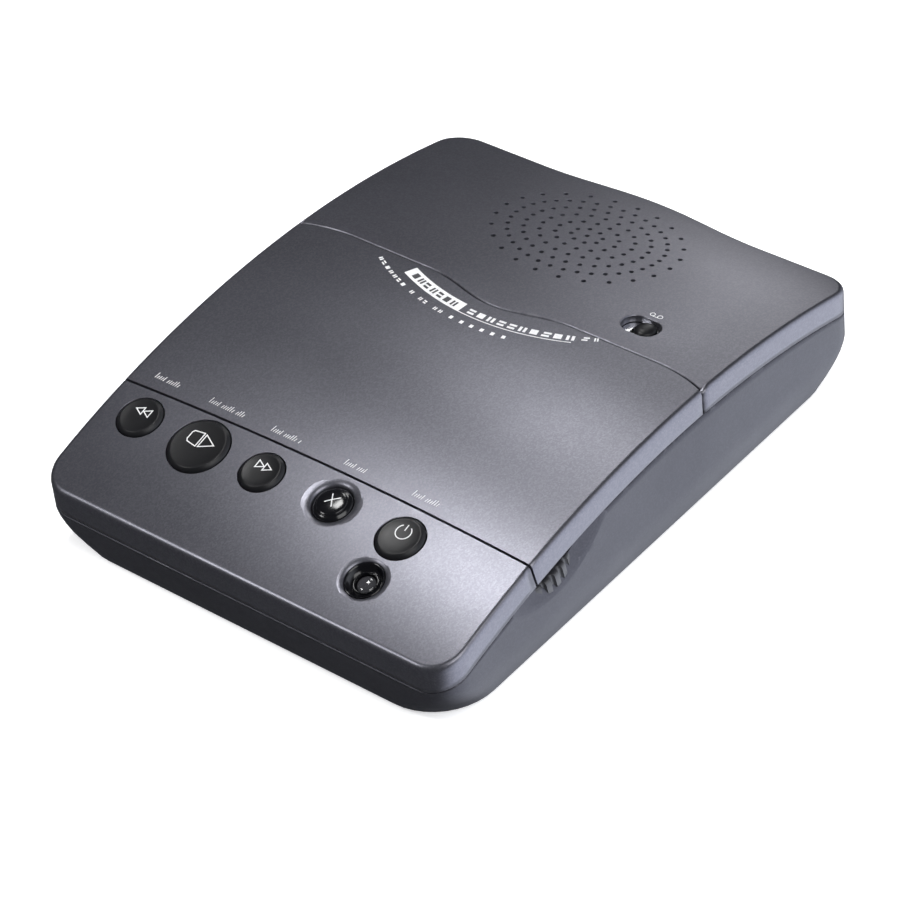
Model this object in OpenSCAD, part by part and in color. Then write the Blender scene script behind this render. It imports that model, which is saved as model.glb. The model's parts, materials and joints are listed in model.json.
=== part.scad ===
// Microcassette telephone answering machine: an arched two-part housing with a rear-hinged cassette lid,
// five keys, a volume wheel, a speaker and a microcassette deck inside.
// Millimetres, +Z up, front edge at -Y, origin at the centre of the footprint on the table.

/* [Housing] */
// Overall width, side to side
body_w = 150; // [148:0.5:152]
// Overall depth, front edge to the crest of the rear bulge
body_d = 197; // [196:0.5:198]
// How far the rear edge bulges out behind the corners
rear_bulge = 3.7; // [2:0.1:4]
// Half of the width of the rear bulge
bulge_half_w = 40; // [36:1:44]
// Corner radius of the housing in plan
corner_r = 10; // [8:0.5:12]
// Radius of the arched top
arch_r = 321.7; // [321:0.1:323]
// Place of the arch's axis, front to back
arch_y = 8.7; // [8:0.1:9.5]
// Height of the crest above the table
crest_z = 41.8; // [41.6:0.1:42]
// Height of the upper covers' side strip, top edge to parting line
strip_h = 7.9; // [7.5:0.1:8.2]
// Wall thickness of the shells
wall = 2.2; // [2:0.1:2.4]
// Thickness of the cassette lid's skin
lid_skin = 1.6; // [1.4:0.1:1.7]
// Height of the rubber feet below the base
foot_h = 1.2; // [1:0.1:1.4]

/* [Seams] */
// Gap of the parting line between the covers and the base
parting_gap = 0.4; // [0.3:0.05:0.5]
// Gap between the front panel and the lid
front_gap = 0.8; // [0.7:0.05:1]
// Gap between the lid and the rear cover
rear_gap = 0.8; // [0.75:0.05:1]
// Place of the front seam at its middle
front_seam_y = -57.8; // [-58:0.1:-57.6]
// Plan radius of the front seam
front_seam_r = 1407; // [1300:1:1500]
// Lean of the front seam, which lets the lid swing up
front_seam_lean = 12.5; // [12:0.5:13]
// Place of the rear seam on its straight stretches
rear_seam_y = 23.2; // [23:0.1:23.4]
// How far the rear seam dips forward at its middle
seam_dip = 4.6; // [4:0.1:5]
// How far the rear seam curls forward at its ends
seam_curl = 4; // [3:0.1:4.5]

/* [Keys] */
// Travel of a key
key_travel = 1; // [0.6:0.1:1.1]
// Clearance round each key in its hole
key_gap = 0.35; // [0.3:0.05:0.5]
// How far the caps stand above the panel
key_proud = 1; // [0.8:0.1:1.2]

/* [Volume wheel] */
// Radius of the volume wheel
wheel_r = 20; // [19:0.5:20]
// Thickness of the volume wheel
wheel_t = 5.5; // [5:0.5:6]
// Place of the volume wheel, front to back
wheel_y = -48.5; // [-48.6:0.1:-48.4]

/* [Speaker] */
// Place of the speaker, side to side
speaker_x = -1; // [-2:0.5:0]
// Place of the speaker, front to back
speaker_y = 65; // [64.5:0.5:65.5]
// Radius of the speaker's rim
speaker_r = 27; // [26:0.5:27]
// Half of the grille's width
grille_a = 30.5; // [30:0.5:31]
// Half of the grille's depth
grille_b = 24.7; // [24:0.1:25]
// Radius of a grille hole
grille_hole_r = 0.75; // [0.6:0.05:0.8]

/* [Cassette deck] */
// Place of the deck, side to side
deck_x = -8; // [-8.5:0.5:-8]
// Height of the deck plate's top
deck_z = 20.8; // [20.6:0.1:21]
// Half of the distance between the reels
reel_half = 12.4; // [12.2:0.1:12.6]
// Travel of the head carriage
head_travel = 3; // [2:0.1:3]
// Radius of the capstan shaft
capstan_r = 0.9; // [0.8:0.05:1]

/* [Hidden] */
eps = 0.01;
front_y = -body_d / 2;
crest_y = body_d / 2;
rear_y = crest_y - rear_bulge;
arch_z = crest_z - arch_r;
parting_r = arch_r - strip_h;
floor_z = foot_h + wall;
// Height of an arch of radius r at a place y
function arch_height(y, r = arch_r) = arch_z + sqrt(r * r - (y - arch_y) * (y - arch_y));
// Lean of the top at a place y, positive where it rises to the rear
function arch_lean(y) = asin((arch_y - y) / arch_r);

// --- shared shapes ---
module box(x, y, z) {
    translate([x[0], y[0], z[0]]) cube([x[1] - x[0], y[1] - y[0], z[1] - z[0]]);
}
module rod(r, z, at = [0, 0], fn = 48) {
    translate([at[0], at[1], z[0]]) cylinder(r = r, h = z[1] - z[0], $fn = fn);
}
module arch(r) {
    translate([0, arch_y, arch_z]) rotate([0, 90, 0]) cylinder(r = r, h = 2 * body_w, center = true, $fn = 720);
}
module band(r_low, r_high) {
    difference() {
        arch(r_high);
        arch(r_low);
    }
}
// A place on the arched top, with Z along its normal
module on_arch(x, y) {
    translate([x, y, arch_height(y)]) rotate([arch_lean(y), 0, 0]) children();
}
module side_plate(x, t) {
    translate([x - t / 2, 0, 0]) rotate([90, 0, 90]) linear_extrude(t) children();
}

// --- housing outline ---
bulge_steps = 12;
function bulge_at(x) = rear_bulge * (1 + cos(180 * x / bulge_half_w)) / 2;
module outline(inset) {
    r = corner_r - inset;
    hw = body_w / 2 - inset;
    y0 = front_y + inset;
    y1 = rear_y - inset;
    translate([-hw + r, y0]) square([2 * (hw - r), y1 - y0]);
    translate([-hw, y0 + r]) square([2 * hw, y1 - y0 - 2 * r]);
    for (sx = [-1, 1], y = [y0 + r, y1 - r]) translate([sx * (hw - r), y]) circle(r = r, $fn = 96);
    polygon(concat(
        [[bulge_half_w, y1 - 5], [-bulge_half_w, y1 - 5]],
        [for (i = [0:bulge_steps])
            let (x = -bulge_half_w + 2 * bulge_half_w * i / bulge_steps) [x, y1 + bulge_at(x)]]));
}
module cap(skin) {
    difference() {
        intersection() {
            linear_extrude(crest_z + 1) outline(0);
            arch(arch_r);
        }
        intersection() {
            translate([0, 0, -1]) linear_extrude(crest_z + 2) outline(wall);
            arch(arch_r - skin);
        }
        arch(parting_r);
    }
}

// --- seams ---
front_seam_z = arch_height(front_seam_y);
module ahead_of_front_seam(gap) {
    translate([0, front_seam_y + gap, front_seam_z])
        rotate([-front_seam_lean, 0, 0])
            translate([0, -front_seam_r, 0])
                cylinder(r = front_seam_r, h = 60, center = true, $fn = 1440);
}
seam_dip_half_w = 26;
seam_curl_start = 56;
seam_steps = 40;
function seam_dip_at(x) = abs(x) < seam_dip_half_w ? seam_dip * (1 + cos(180 * x / seam_dip_half_w)) / 2 : 0;
function seam_curl_at(x) = abs(x) > seam_curl_start
    ? seam_curl * pow((abs(x) - seam_curl_start) / (body_w / 2 - seam_curl_start), 2) : 0;
function rear_seam_at(x) = rear_seam_y - seam_dip_at(x) - seam_curl_at(x);
module behind_rear_seam(gap) {
    translate([0, 0, -1]) linear_extrude(crest_z + 2) polygon(concat(
        [[body_w / 2 + 1, crest_y + 1], [-body_w / 2 - 1, crest_y + 1]],
        [for (i = [0:seam_steps])
            let (x = (body_w / 2 + 1) * (2 * i / seam_steps - 1))
            [x, rear_seam_at(x) + gap]]));
}

// --- base shell ---
// height and inset of each bend of the base's side profile
base_levels = [[foot_h, 2.8], [foot_h + 2.5, 1.5], [foot_h + 7, 0.5], [foot_h + 13, 0], [crest_z, 0]];
corner_cut_low = 11.5;
corner_cut_high = 4;
module base_profile(half, inset) {
    polygon(concat(
        [for (level = base_levels) [half - inset - level[1], level[0] + inset]],
        [for (i = [len(base_levels) - 1:-1:0])
            [inset + base_levels[i][1] - half, base_levels[i][0] + inset]]));
}
// the base's outer form, or its cavity when inset by the wall
module base_form(inset) {
    lean = atan2(corner_cut_low - corner_cut_high, base_levels[3][0] - foot_h);
    difference() {
        intersection() {
            linear_extrude(crest_z + 3) outline(inset);
            rotate([90, 0, 0]) linear_extrude(2 * body_d, center = true) base_profile(body_w / 2, inset);
            rotate([90, 0, 90]) linear_extrude(2 * body_w, center = true) base_profile(body_d / 2, inset);
        }
        // leaning flats that thin the lower corners
        for (sx = [-1, 1], sy = [-1, 1])
            translate([sx * (body_w / 2 - inset), sy * (body_d / 2 - inset), foot_h])
                rotate([0, 0, atan2(sy, sx)]) translate([-corner_cut_low, 0, 0]) rotate([0, lean, 0])
                    translate([0, -40, -20]) cube([40, 80, 34]);
    }
}
wheel_x = body_w / 2 - 0.1 - wheel_r;
wheel_z = 19.5;
wheel_slot_gap = 0.6;
wheel_slot_half = 12.5;
scoop_r = 67;
scoop_place = [135, -51.8, 48.5];
module scoop(r) {
    translate(scoop_place) sphere(r = r, $fn = 256);
}
// the wheel lies parallel to the top above it
module on_wheel() {
    translate([wheel_x, wheel_y, wheel_z]) rotate([arch_lean(wheel_y), 0, 0]) children();
}
screw_x = 66;
case_screw_places = [[-62, -86], [62, -86], [-screw_x, 84], [screw_x, 84], [-screw_x, 44], [screw_x, 44]];
case_boss_z = 10;
board_z = 6;
board_t = 1.6;
board_top = board_z + board_t;
board_screw_places = [[-54, 14], [54, 14], [-54, 82], [54, 82], [56, -34]];
deck_screw_places = [[-37.6, -52], [-37.6, 0], [37.6, -52], [37.6, 0]];
deck_t = 1.2;
line_x = -40;
line_w = 13.2;
line_h = 11.6;
power_x = 44;
power_z = board_top + 5.2;
power_nose_r = 4;
module base_shell() color([0.2, 0.2, 0.23]) {
    difference() {
        union() {
            difference() {
                base_form(0);
                base_form(wall);
            }
            // backing of the finger scoop beside the volume wheel
            intersection() {
                base_form(1);
                scoop(scoop_r + wall);
            }
            for (p = case_screw_places) rod(3.6, [floor_z - eps, case_boss_z], p);
            for (p = board_screw_places) rod(3, [floor_z - eps, board_z], p);
            for (p = deck_screw_places) rod(3, [floor_z - eps, deck_z - deck_t], [p[0] + deck_x, p[1]]);
        }
        difference() {
            translate([0, 0, -1]) linear_extrude(2 * crest_z) square([2 * body_w, 2 * body_d], center = true);
            arch(parting_r - parting_gap);
            translate([0, 0, -10]) linear_extrude(15) square([2 * body_w, 2 * body_d], center = true);
        }
        scoop(scoop_r);
        on_wheel() box([0, wheel_r + 8], [-wheel_slot_half, wheel_slot_half],
            [-wheel_slot_gap, wheel_t + wheel_slot_gap]);
        for (p = case_screw_places) {
            rod(1.7, [0, case_boss_z + 1], p);
            rod(3.1, [0, floor_z + 1.4], p);
        }
        for (p = board_screw_places) rod(1.1, [floor_z, board_z + 1], p);
        for (p = deck_screw_places) rod(1.1, [floor_z + 4, deck_z], [p[0] + deck_x, p[1]]);
        box([line_x - line_w / 2 - 0.3, line_x + line_w / 2 + 0.3], [crest_y - 12, crest_y + 1],
            [board_top - 0.3, board_top + line_h + 0.3]);
        translate([power_x, crest_y - 12, power_z]) rotate([-90, 0, 0]) cylinder(r = power_nose_r + 0.3, h = 20);
        // cooling slots under the board
        for (i = [-4:4]) box([i * 7 - 1, i * 7 + 1], [30, 56], [0, floor_z + 1]);
    }
}

// --- keys: name order rewind, play, forward, erase, power ---
keys_y = -67;
key_places = [[-60.6, -1.4, 7.5], [-37.6, -1.8, 9.9], [-14.6, -0.8, 7.3], [10.6, 0, 6.5], [36.1, -1.1, 7.7]];
erase = 3;
erase_rim_r = 7.2;
module on_keys() {
    on_arch(0, keys_y) children();
}
key_flange_z = [-4.1, -3];
key_flange = 1;
switch_z = -9.4;
switch_h = 2.8;
plunger_top = -5.2;
plunger_r = 1.7;
module key_cap(k, dish) {
    r = key_places[k][2];
    bevel = 0.7;
    top = k == erase ? -0.1 : key_proud;
    on_keys() translate([key_places[k][0], key_places[k][1], 0]) {
        rotate_extrude($fn = 96) polygon([[0, key_flange_z[0]], [r + key_flange, key_flange_z[0]],
            [r + key_flange, key_flange_z[1]], [r, key_flange_z[1]], [r, top - bevel], [r - bevel, top], [0, top - dish]]);
        rod(2.4, [plunger_top, key_flange_z[0] + eps]);
    }
}
module key_plunger(k) {
    on_keys() rod(plunger_r, [switch_z + 1.3, plunger_top - eps], key_places[k]);
}
module rewind_key() color([0.06, 0.06, 0.07]) key_cap(0, 0.3);
module play_key() color([0.06, 0.06, 0.07]) key_cap(1, 0.3);
module forward_key() color([0.06, 0.06, 0.07]) key_cap(2, 0.3);
module erase_key() color([0.02, 0.02, 0.02]) key_cap(erase, -0.7);
module power_key() color([0.06, 0.06, 0.07]) key_cap(4, 0.3);
module rewind_plunger() color([0.85, 0.8, 0.6]) key_plunger(0);
module play_plunger() color([0.85, 0.8, 0.6]) key_plunger(1);
module forward_plunger() color([0.85, 0.8, 0.6]) key_plunger(2);
module erase_plunger() color([0.85, 0.8, 0.6]) key_plunger(erase);
module power_plunger() color([0.85, 0.8, 0.6]) key_plunger(4);
module tact_switches() color([0.15, 0.15, 0.16]) on_keys() {
    for (p = key_places) difference() {
        translate([p[0], p[1], switch_z + switch_h / 2]) cube([6, 6, switch_h], center = true);
        rod(plunger_r + 0.1, [switch_z + 0.25, 0], p);
    }
}
key_board_t = 1.6;
module key_board() color([0.1, 0.35, 0.2]) on_keys() {
    box([-70.5, 39], [-7.5, 4.6], [switch_z - key_board_t, switch_z]);
    box([26, 39], [-22, -7.5 + eps], [switch_z - key_board_t, switch_z]);
}

// --- indicator ---
lamp_place = [35.1, -83.1];
lamp_hole_r = 5.9;
module on_lamp() {
    on_arch(lamp_place[0], lamp_place[1]) children();
}
module indicator_bezel() color([0.03, 0.03, 0.03]) on_lamp() {
    rotate_extrude($fn = 64) polygon([[2.7, -6], [4.6, -6], [4.6, -2.9], [7, -2.9], [7, -2.5],
        [lamp_hole_r - 0.05, -2.5], [lamp_hole_r - 0.05, -0.3], [5, -0.3], [3.3, -4.4], [2.7, -4.4]]);
}
module indicator_lamp() color([0.9, 0.9, 0.92, 0.5]) on_lamp() {
    rod(2.5, [-8.9, -3.6]);
    difference() {
        translate([0, 0, -3.6]) sphere(r = 2.5, $fn = 48);
        translate([0, 0, -8.6]) cube([10, 10, 10], center = true);
    }
}

// --- front panel ---
bulkhead_y = [-56.8, -55.3];
module front_panel() color([0.33, 0.33, 0.36]) {
    difference() {
        union() {
            intersection() {
                cap(wall);
                ahead_of_front_seam(0);
            }
            // ledge and bulkhead that carry the lid's front edge
            intersection() {
                linear_extrude(crest_z) square([2 * (body_w / 2 - wall - 0.5), 2 * body_d], center = true);
                box([-body_w, body_w], [bulkhead_y[0] - 8, bulkhead_y[1]], [0, crest_z]);
                band(arch_r - 3.2, arch_r - lid_skin - 0.4);
            }
            intersection() {
                box([-body_w / 2 + wall + 0.5, body_w / 2 - wall - 0.5], bulkhead_y, [0, crest_z]);
                band(parting_r - 0.6, arch_r - 3.1);
            }
            for (i = [0, 1]) intersection() {
                rod(3, [case_boss_z, crest_z], case_screw_places[i]);
                arch(arch_r - wall + eps);
            }
        }
        for (i = [0, 1]) rod(1.2, [case_boss_z - 1, case_boss_z + 9], case_screw_places[i]);
        on_keys() {
            for (p = key_places) {
                rod(p[2] + key_gap, [-3, 6], p, 96);
                rod(p[2] + key_flange + key_gap, [-6, key_flange_z[1] + 0.4], p, 96);
            }
            translate([key_places[erase][0], key_places[erase][1], -0.7])
                cylinder(r = erase_rim_r + 0.6, h = 6, $fn = 96);
        }
        on_lamp() rod(lamp_hole_r, [-6, 6], [0, 0], 96);
    }
}

// --- cassette lid ---
lid_clear_r = 15.75;
module cassette_lid() color([0.33, 0.33, 0.36]) {
    difference() {
        cap(lid_skin);
        ahead_of_front_seam(front_gap);
        behind_rear_seam(-rear_gap);
        // the side walls' ends swing past the rear cover's corners
        for (sx = [-1, 1]) intersection() {
            translate([sx * body_w / 2, hinge_y, hinge_z]) rotate([0, 90, 0])
                cylinder(r = lid_clear_r, h = 2 * wall, center = true, $fn = 96);
            box([-body_w, body_w], [0, hinge_y], [0, hinge_z + 3.4]);
        }
    }
}

// --- rear cover ---
grille_counts = [1, 8, 14, 20, 28, 36, 24];
slot_place = [41.8, 34.7];
slot_half_w = 2;
slot_r = 4.2;
module slot_outline(grow) {
    for (sx = [-1, 1]) translate([sx * slot_half_w, 0]) circle(r = slot_r + grow, $fn = 64);
    square([2 * slot_half_w, 2 * (slot_r + grow)], center = true);
}
module rear_cover() color([0.33, 0.33, 0.36]) {
    rings = len(grille_counts) - 1;
    difference() {
        union() {
            intersection() {
                cap(wall);
                behind_rear_seam(0);
            }
            for (i = [2:5]) intersection() {
                rod(3, [case_boss_z, crest_z], case_screw_places[i]);
                arch(arch_r - wall + eps);
            }
        }
        for (i = [2:5]) rod(1.2, [case_boss_z - 1, case_boss_z + 9], case_screw_places[i]);
        for (ring = [0:rings], i = [0:grille_counts[ring] - 1]) {
            turn = 360 * (i + (ring % 2) / 2) / grille_counts[ring];
            rod(grille_hole_r, [20, crest_z + 1], [speaker_x + grille_a * ring / rings * cos(turn),
                speaker_y + grille_b * ring / rings * sin(turn)], 8);
        }
        on_arch(slot_place[0], slot_place[1]) translate([0, 0, -5]) linear_extrude(8) slot_outline(0);
    }
}

// --- hinge ---
hinge_y = 33.7;
hinge_depth = 4.5;
hinge_z = arch_height(hinge_y) - hinge_depth;
hinge_x = 63;
arm_t = 3;
arm_w = 2.4;
pin_r = 1;
arm_path = [[0, 0], [-3.1, -7.4], [-8, -10], [-13, -8.3], [-13.8, -3], [-13.8, 3.4]];
// a strip of width w along a bent path, with mitred corners
function side_of(a, b) = [a[1] - b[1], b[0] - a[0]] / norm(b - a);
function mitre_at(path, i) =
    let (last = len(path) - 1,
        before = side_of(path[max(i - 1, 0)], path[max(i, 1)]),
        after = side_of(path[min(i, last - 1)], path[min(i + 1, last)]))
    (before + after) / (1 + before * after);
module strip(path, w) {
    last = len(path) - 1;
    polygon(concat(
        [for (i = [0:last]) path[i] + mitre_at(path, i) * w / 2],
        [for (i = [last:-1:0]) path[i] - mitre_at(path, i) * w / 2]));
}
module hinge_arms() color([0.75, 0.76, 0.78]) {
    for (sx = [-1, 1]) intersection() {
        side_plate(sx * hinge_x, arm_t) translate([hinge_y, hinge_z]) difference() {
            union() {
                circle(r = 2.05, $fn = 48);
                strip(arm_path, arm_w);
                translate([-27, 2.2]) square([14, 1.9]);
            }
            circle(r = pin_r + 0.05, $fn = 48);
        }
        arch(arch_r - lid_skin - 0.05);
    }
}
module hinge_pins() color([0.8, 0.8, 0.82]) {
    for (sx = [-1, 1]) translate([sx * hinge_x, hinge_y, hinge_z]) rotate([0, 90, 0])
        cylinder(r = pin_r, h = 10, center = true, $fn = 48);
}
module hinge_brackets() color([0.3, 0.3, 0.32]) {
    ear = 2.4;
    for (sx = [-1, 1]) intersection() {
        union() {
            for (dx = [-3.4, 3.4]) side_plate(sx * hinge_x + dx, ear) translate([hinge_y, hinge_z]) difference() {
                union() {
                    circle(r = 2.6, $fn = 48);
                    translate([-2.6, 0]) square([8, 4]);
                    translate([0, -2.6]) square([5.4, 4]);
                }
                circle(r = pin_r, $fn = 48);
            }
            box([sx * hinge_x - 4.6, sx * hinge_x + 4.6], [hinge_y + 3.2, hinge_y + 5.4],
                [hinge_z - 2.6, hinge_z + 4]);
        }
        arch(arch_r - wall - 0.05);
    }
}

// --- slide switch ---
knob_travel = 3.2;
knob_x = 1.6;
module slide_knob() color([0.04, 0.04, 0.04]) on_arch(slot_place[0], slot_place[1]) translate([knob_x, 0, 0]) {
    rotate_extrude($fn = 64) polygon([[0, -2.2], [3.4, -2.2], [3.4, -0.7], [3, -0.2], [2, 0.2], [0, 0.4]]);
    box([-1.2, 1.2], [-1.2, 1.2], [-5, -2.1]);
}
module slide_switch() color([0.75, 0.75, 0.78]) on_arch(slot_place[0], slot_place[1]) {
    difference() {
        union() {
            box([-8, 8], [-5.4, 5.4], [-3, -2.45]);
            box([-5.5, 5.5], [-3, 3], [-8, -3 + eps]);
        }
        box([-3.2, 3.2], [-1.6, 1.6], [-6, -2]);
    }
}
module switch_board() color([0.1, 0.35, 0.2]) on_arch(slot_place[0], slot_place[1]) {
    difference() {
        box([-11, 11], [-8, 8], [-9.6, -8]);
        for (sx = [-1, 1]) rod(1.1, [-10, -7], [sx * 9, 0]);
    }
}

// --- volume control ---
knurls = 36;
pot_z = -10.8;
module volume_wheel() color([0.05, 0.05, 0.06]) on_wheel() {
    difference() {
        rod(wheel_r, [0, wheel_t], [0, 0], 120);
        for (i = [0:knurls - 1]) rotate(i * 360 / knurls) rod(0.85, [-1, wheel_t + 1], [wheel_r + 0.1, 0], 6);
        rod(wheel_r - 3, [wheel_t - 1.5, wheel_t + 1], [0, 0], 96);
    }
    rod(2.5, [pot_z + 2, eps]);
}
module volume_pot() color([0.2, 0.22, 0.25]) on_wheel() difference() {
    union() {
        box([-5, 5], [-5, 5], [pot_z, pot_z + 7]);
        rod(4, [pot_z + 7 - eps, -0.6]);
    }
    rod(2.55, [pot_z + 1.5, 1]);
}

// --- speaker ---
speaker_top = -4.4;
module on_speaker() {
    on_arch(speaker_x, speaker_y) translate([0, 0, speaker_top]) children();
}
module speaker_frame() color([0.55, 0.56, 0.58]) on_speaker() rotate_extrude($fn = 96) polygon([
    [speaker_r - 3, 0], [speaker_r, 0], [speaker_r, -1], [speaker_r - 2, -1], [speaker_r - 4, -4],
    [12, -9.5], [12, -10.5], [5.5, -10.5], [5.5, -9.7], [11.3, -9.7], [11.3, -8.9], [speaker_r - 5, -3.4],
    [speaker_r - 3, -0.8]]);
module speaker_cone() color([0.12, 0.11, 0.1]) on_speaker() rotate_extrude($fn = 96) polygon([
    [speaker_r - 3.2, -0.2], [speaker_r - 3.2, -0.6], [7, -7.4], [5, -7.4], [5, -7], [6.8, -7],
    [speaker_r - 4.4, -0.2]]);
module speaker_cap() color([0.1, 0.1, 0.1]) on_speaker() rotate_extrude($fn = 64) polygon([
    [0, -4.8], [3.6, -5.4], [6, -6.8], [5.4, -6.95], [3.4, -5.9], [0, -5.3]]);
module speaker_magnet() color([0.3, 0.3, 0.32]) on_speaker() {
    rod(11, [-15.5, -10.55], [0, 0], 64);
    rod(4.6, [-10.6, -8], [0, 0], 48);
}

// --- tray round the cassette well ---
well_x = [deck_x - 34, deck_x + 34];
well_y = [-52.2, 2];
well_wall = 1.6;
tray_r = [parting_r - 2.4, parting_r - 0.8];
tray_rear_y = 16;
module bay_tray() color([0.22, 0.22, 0.24]) {
    difference() {
        union() {
            intersection() {
                linear_extrude(crest_z) outline(wall + 0.6);
                box([-body_w, body_w], [bulkhead_y[1] + 0.05, tray_rear_y], [0, crest_z]);
                band(tray_r[0], tray_r[1]);
            }
            intersection() {
                box([well_x[0] - well_wall, well_x[1] + well_wall], [well_y[0] - well_wall, well_y[1] + well_wall],
                    [deck_z + 0.1, crest_z]);
                arch(tray_r[1]);
            }
        }
        box(well_x, well_y, [0, crest_z]);
        scoop(scoop_r + wall + 0.4);
    }
}

// --- cassette deck ---
reel_y = -15.5;
capstan_at = [12, -30.5];
motor_at = [-18, -33];
cassette_z = [24, 32.1];
cassette_y = [-34.5, -1.5];
guide_pins = [[-9, -46.5], [6, -46.5]];
solenoid_x = 28;
head_plate_z = [21.4, 22.4];
module at_deck() {
    translate([deck_x, 0, 0]) children();
}
module deck_plate() color([0.72, 0.73, 0.75]) at_deck() {
    difference() {
        box([-40, 40], [-54.5, 4], [deck_z - deck_t, deck_z]);
        for (p = deck_screw_places) rod(1.5, [deck_z - 3, deck_z + 1], p);
        for (sx = [-1, 1]) rod(1.55, [deck_z - 3, deck_z + 1], [sx * reel_half, reel_y]);
        rod(3, [deck_z - 3, deck_z + 1], capstan_at);
        box([solenoid_x - 2.2, solenoid_x + 2.2], [-50, -43.5], [deck_z - 3, deck_z + 1]);
        for (sx = [-1, 1]) rod(1.2, [deck_z - 3, deck_z + 1], [motor_at[0] + sx * 7, motor_at[1]]);
    }
    for (p = guide_pins) rod(1, [deck_z - eps, 23.4], p);
    for (sx = [-1, 1], y = [-31, -4]) rod(1.5, [deck_z - eps, cassette_z[0]], [sx * 22.5, y]);
}
drive_z = [4.6, 7.6];
flywheel_r = 11;
pulley_r = 2.2;
belt_z = 6.1;
belt_t = 0.9;
groove = 0.5;
module grooved_disc(r) {
    mid = (drive_z[0] + drive_z[1]) / 2;
    rotate_extrude($fn = 96) polygon([[0, drive_z[0]], [r, drive_z[0]], [r, mid - 0.7], [r - groove, mid - 0.6],
        [r - groove, mid + 0.6], [r, mid + 0.7], [r, drive_z[1]], [0, drive_z[1]]]);
}
module drive_motor() color([0.6, 0.61, 0.63]) at_deck() {
    rod(11, [9.2, deck_z - deck_t - 0.02], motor_at, 64);
    rod(3, [8.2, 9.2 + eps], motor_at);
}
module motor_pulley() color([0.8, 0.7, 0.4]) at_deck() translate([motor_at[0], motor_at[1], 0]) {
    grooved_disc(pulley_r);
}
module flywheel() color([0.65, 0.62, 0.55]) at_deck() translate([capstan_at[0], capstan_at[1], 0]) difference() {
    union() {
        grooved_disc(flywheel_r);
        rod(3.2, [drive_z[1] - eps, 10]);
    }
    rod(capstan_r, [0, 20]);
}
module capstan() color([0.85, 0.85, 0.87]) at_deck() rod(capstan_r, [3.9, 31.2], capstan_at);
module capstan_bearing() color([0.8, 0.68, 0.35]) at_deck() difference() {
    rod(2.98, [13, deck_z + 0.4], capstan_at);
    rod(capstan_r + 0.05, [12, deck_z + 1], capstan_at);
}
module belt_loop(grow) {
    hull() {
        translate(motor_at) circle(r = pulley_r - groove + grow, $fn = 48);
        translate(capstan_at) circle(r = flywheel_r - groove + grow, $fn = 96);
    }
}
module drive_belt() color([0.04, 0.04, 0.04]) at_deck() translate([0, 0, belt_z - belt_t / 2])
    linear_extrude(belt_t) difference() {
        belt_loop(0.12 + belt_t);
        belt_loop(0.12);
    }
module spindle(sx) {
    at_deck() translate([sx * reel_half, reel_y, 0]) {
        rod(1.5, [15, 21.2 + eps]);
        difference() {
            rod(8, [21.2, 22.8], [0, 0], 96);
            for (i = [0:39]) rotate(i * 9) rod(0.35, [21, 23], [8.1, 0], 6);
        }
        rod(2.2, [22.8 - eps, 30], [0, 0], 48);
        for (i = [0:2]) rotate(i * 120) box([1.8, 2.9], [-0.4, 0.4], [25, 29.6]);
    }
}
module reel(sx) {
    at_deck() translate([sx * reel_half, reel_y, 0]) difference() {
        union() {
            rod(5.4, [25.5, 30.6], [0, 0], 64);
            rod(sx < 0 ? 9.6 : 8.8, [26.1, 29.9], [0, 0], 96);
        }
        rod(2.25, [25, 31], [0, 0], 48);
        for (i = [0:2]) rotate(i * 120) box([1.7, 3], [-0.5, 0.5], [25, 31]);
    }
}
module supply_spindle() color([0.85, 0.85, 0.83]) spindle(-1);
module takeup_spindle() color([0.85, 0.85, 0.83]) spindle(1);
module supply_reel() color([0.25, 0.17, 0.12]) reel(-1);
module takeup_reel() color([0.25, 0.17, 0.12]) reel(1);
module cassette_shell() color([0.75, 0.77, 0.8, 0.6]) at_deck() {
    skin = 1;
    difference() {
        box([-25, 25], cassette_y, cassette_z);
        box([-25 + skin, 25 - skin], [cassette_y[0] + skin, cassette_y[1] - skin],
            [cassette_z[0] + skin, cassette_z[1] - skin]);
        for (sx = [-1, 1]) rod(3.8, [cassette_z[0] - 1, cassette_z[1] + 1], [sx * reel_half, reel_y]);
        box([-13, -6], [cassette_y[0] - 1, cassette_y[0] + 2], [cassette_z[0] - 1, cassette_z[1] - skin]);
        box([-4.8, 4.8], [cassette_y[0] - 1, cassette_y[0] + 2], [cassette_z[0] - 1, cassette_z[1] - skin]);
        box([7.6, 16.4], [cassette_y[0] - 1, cassette_y[0] + 7.5], [cassette_z[0] - 1, cassette_z[1] + 1]);
    }
}

// --- head carriage ---
roller_r = 3.2;
roller_at = [capstan_at[0], capstan_at[1] - capstan_r - roller_r - 0.15 - head_travel];
module head_plate() color([0.78, 0.79, 0.81]) at_deck() difference() {
    union() {
        box([-13, 15], [-51.7, -37.2], head_plate_z);
        box([10, 31.2], [-48.4, -44.6], head_plate_z);
    }
    for (p = guide_pins) {
        for (dy = [0.2, -head_travel - 0.2]) rod(1.15, [21, 23], [p[0], p[1] + dy]);
        box([p[0] - 1.15, p[0] + 1.15], [p[1] - head_travel - 0.2, p[1] + 0.2], [21, 23]);
    }
}
module tape_head() color([0.7, 0.7, 0.72]) at_deck() {
    box([-3.5, 3.5], [-42, -37], [head_plate_z[1] + eps, 30.4]);
    intersection() {
        box([-3.5, 3.5], [-37 - eps, -36], [head_plate_z[1] + eps, 30.4]);
        rod(6, [head_plate_z[1] + eps, 30.4], [0, -42], 96);
    }
}
module erase_head() color([0.6, 0.6, 0.62]) at_deck() box([-11.8, -7.2], [-41, -36.4], [head_plate_z[1] + eps, 29.6]);
module pinch_arm() color([0.75, 0.76, 0.78]) at_deck() {
    box([roller_at[0] - 2, roller_at[0] + 2], [-46.5, roller_at[1]], [head_plate_z[1] + eps, 23.6]);
    rod(2, [head_plate_z[1] + eps, 23.6], roller_at);
    rod(0.8, [23.6 - eps, 31.6], roller_at);
}
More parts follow.
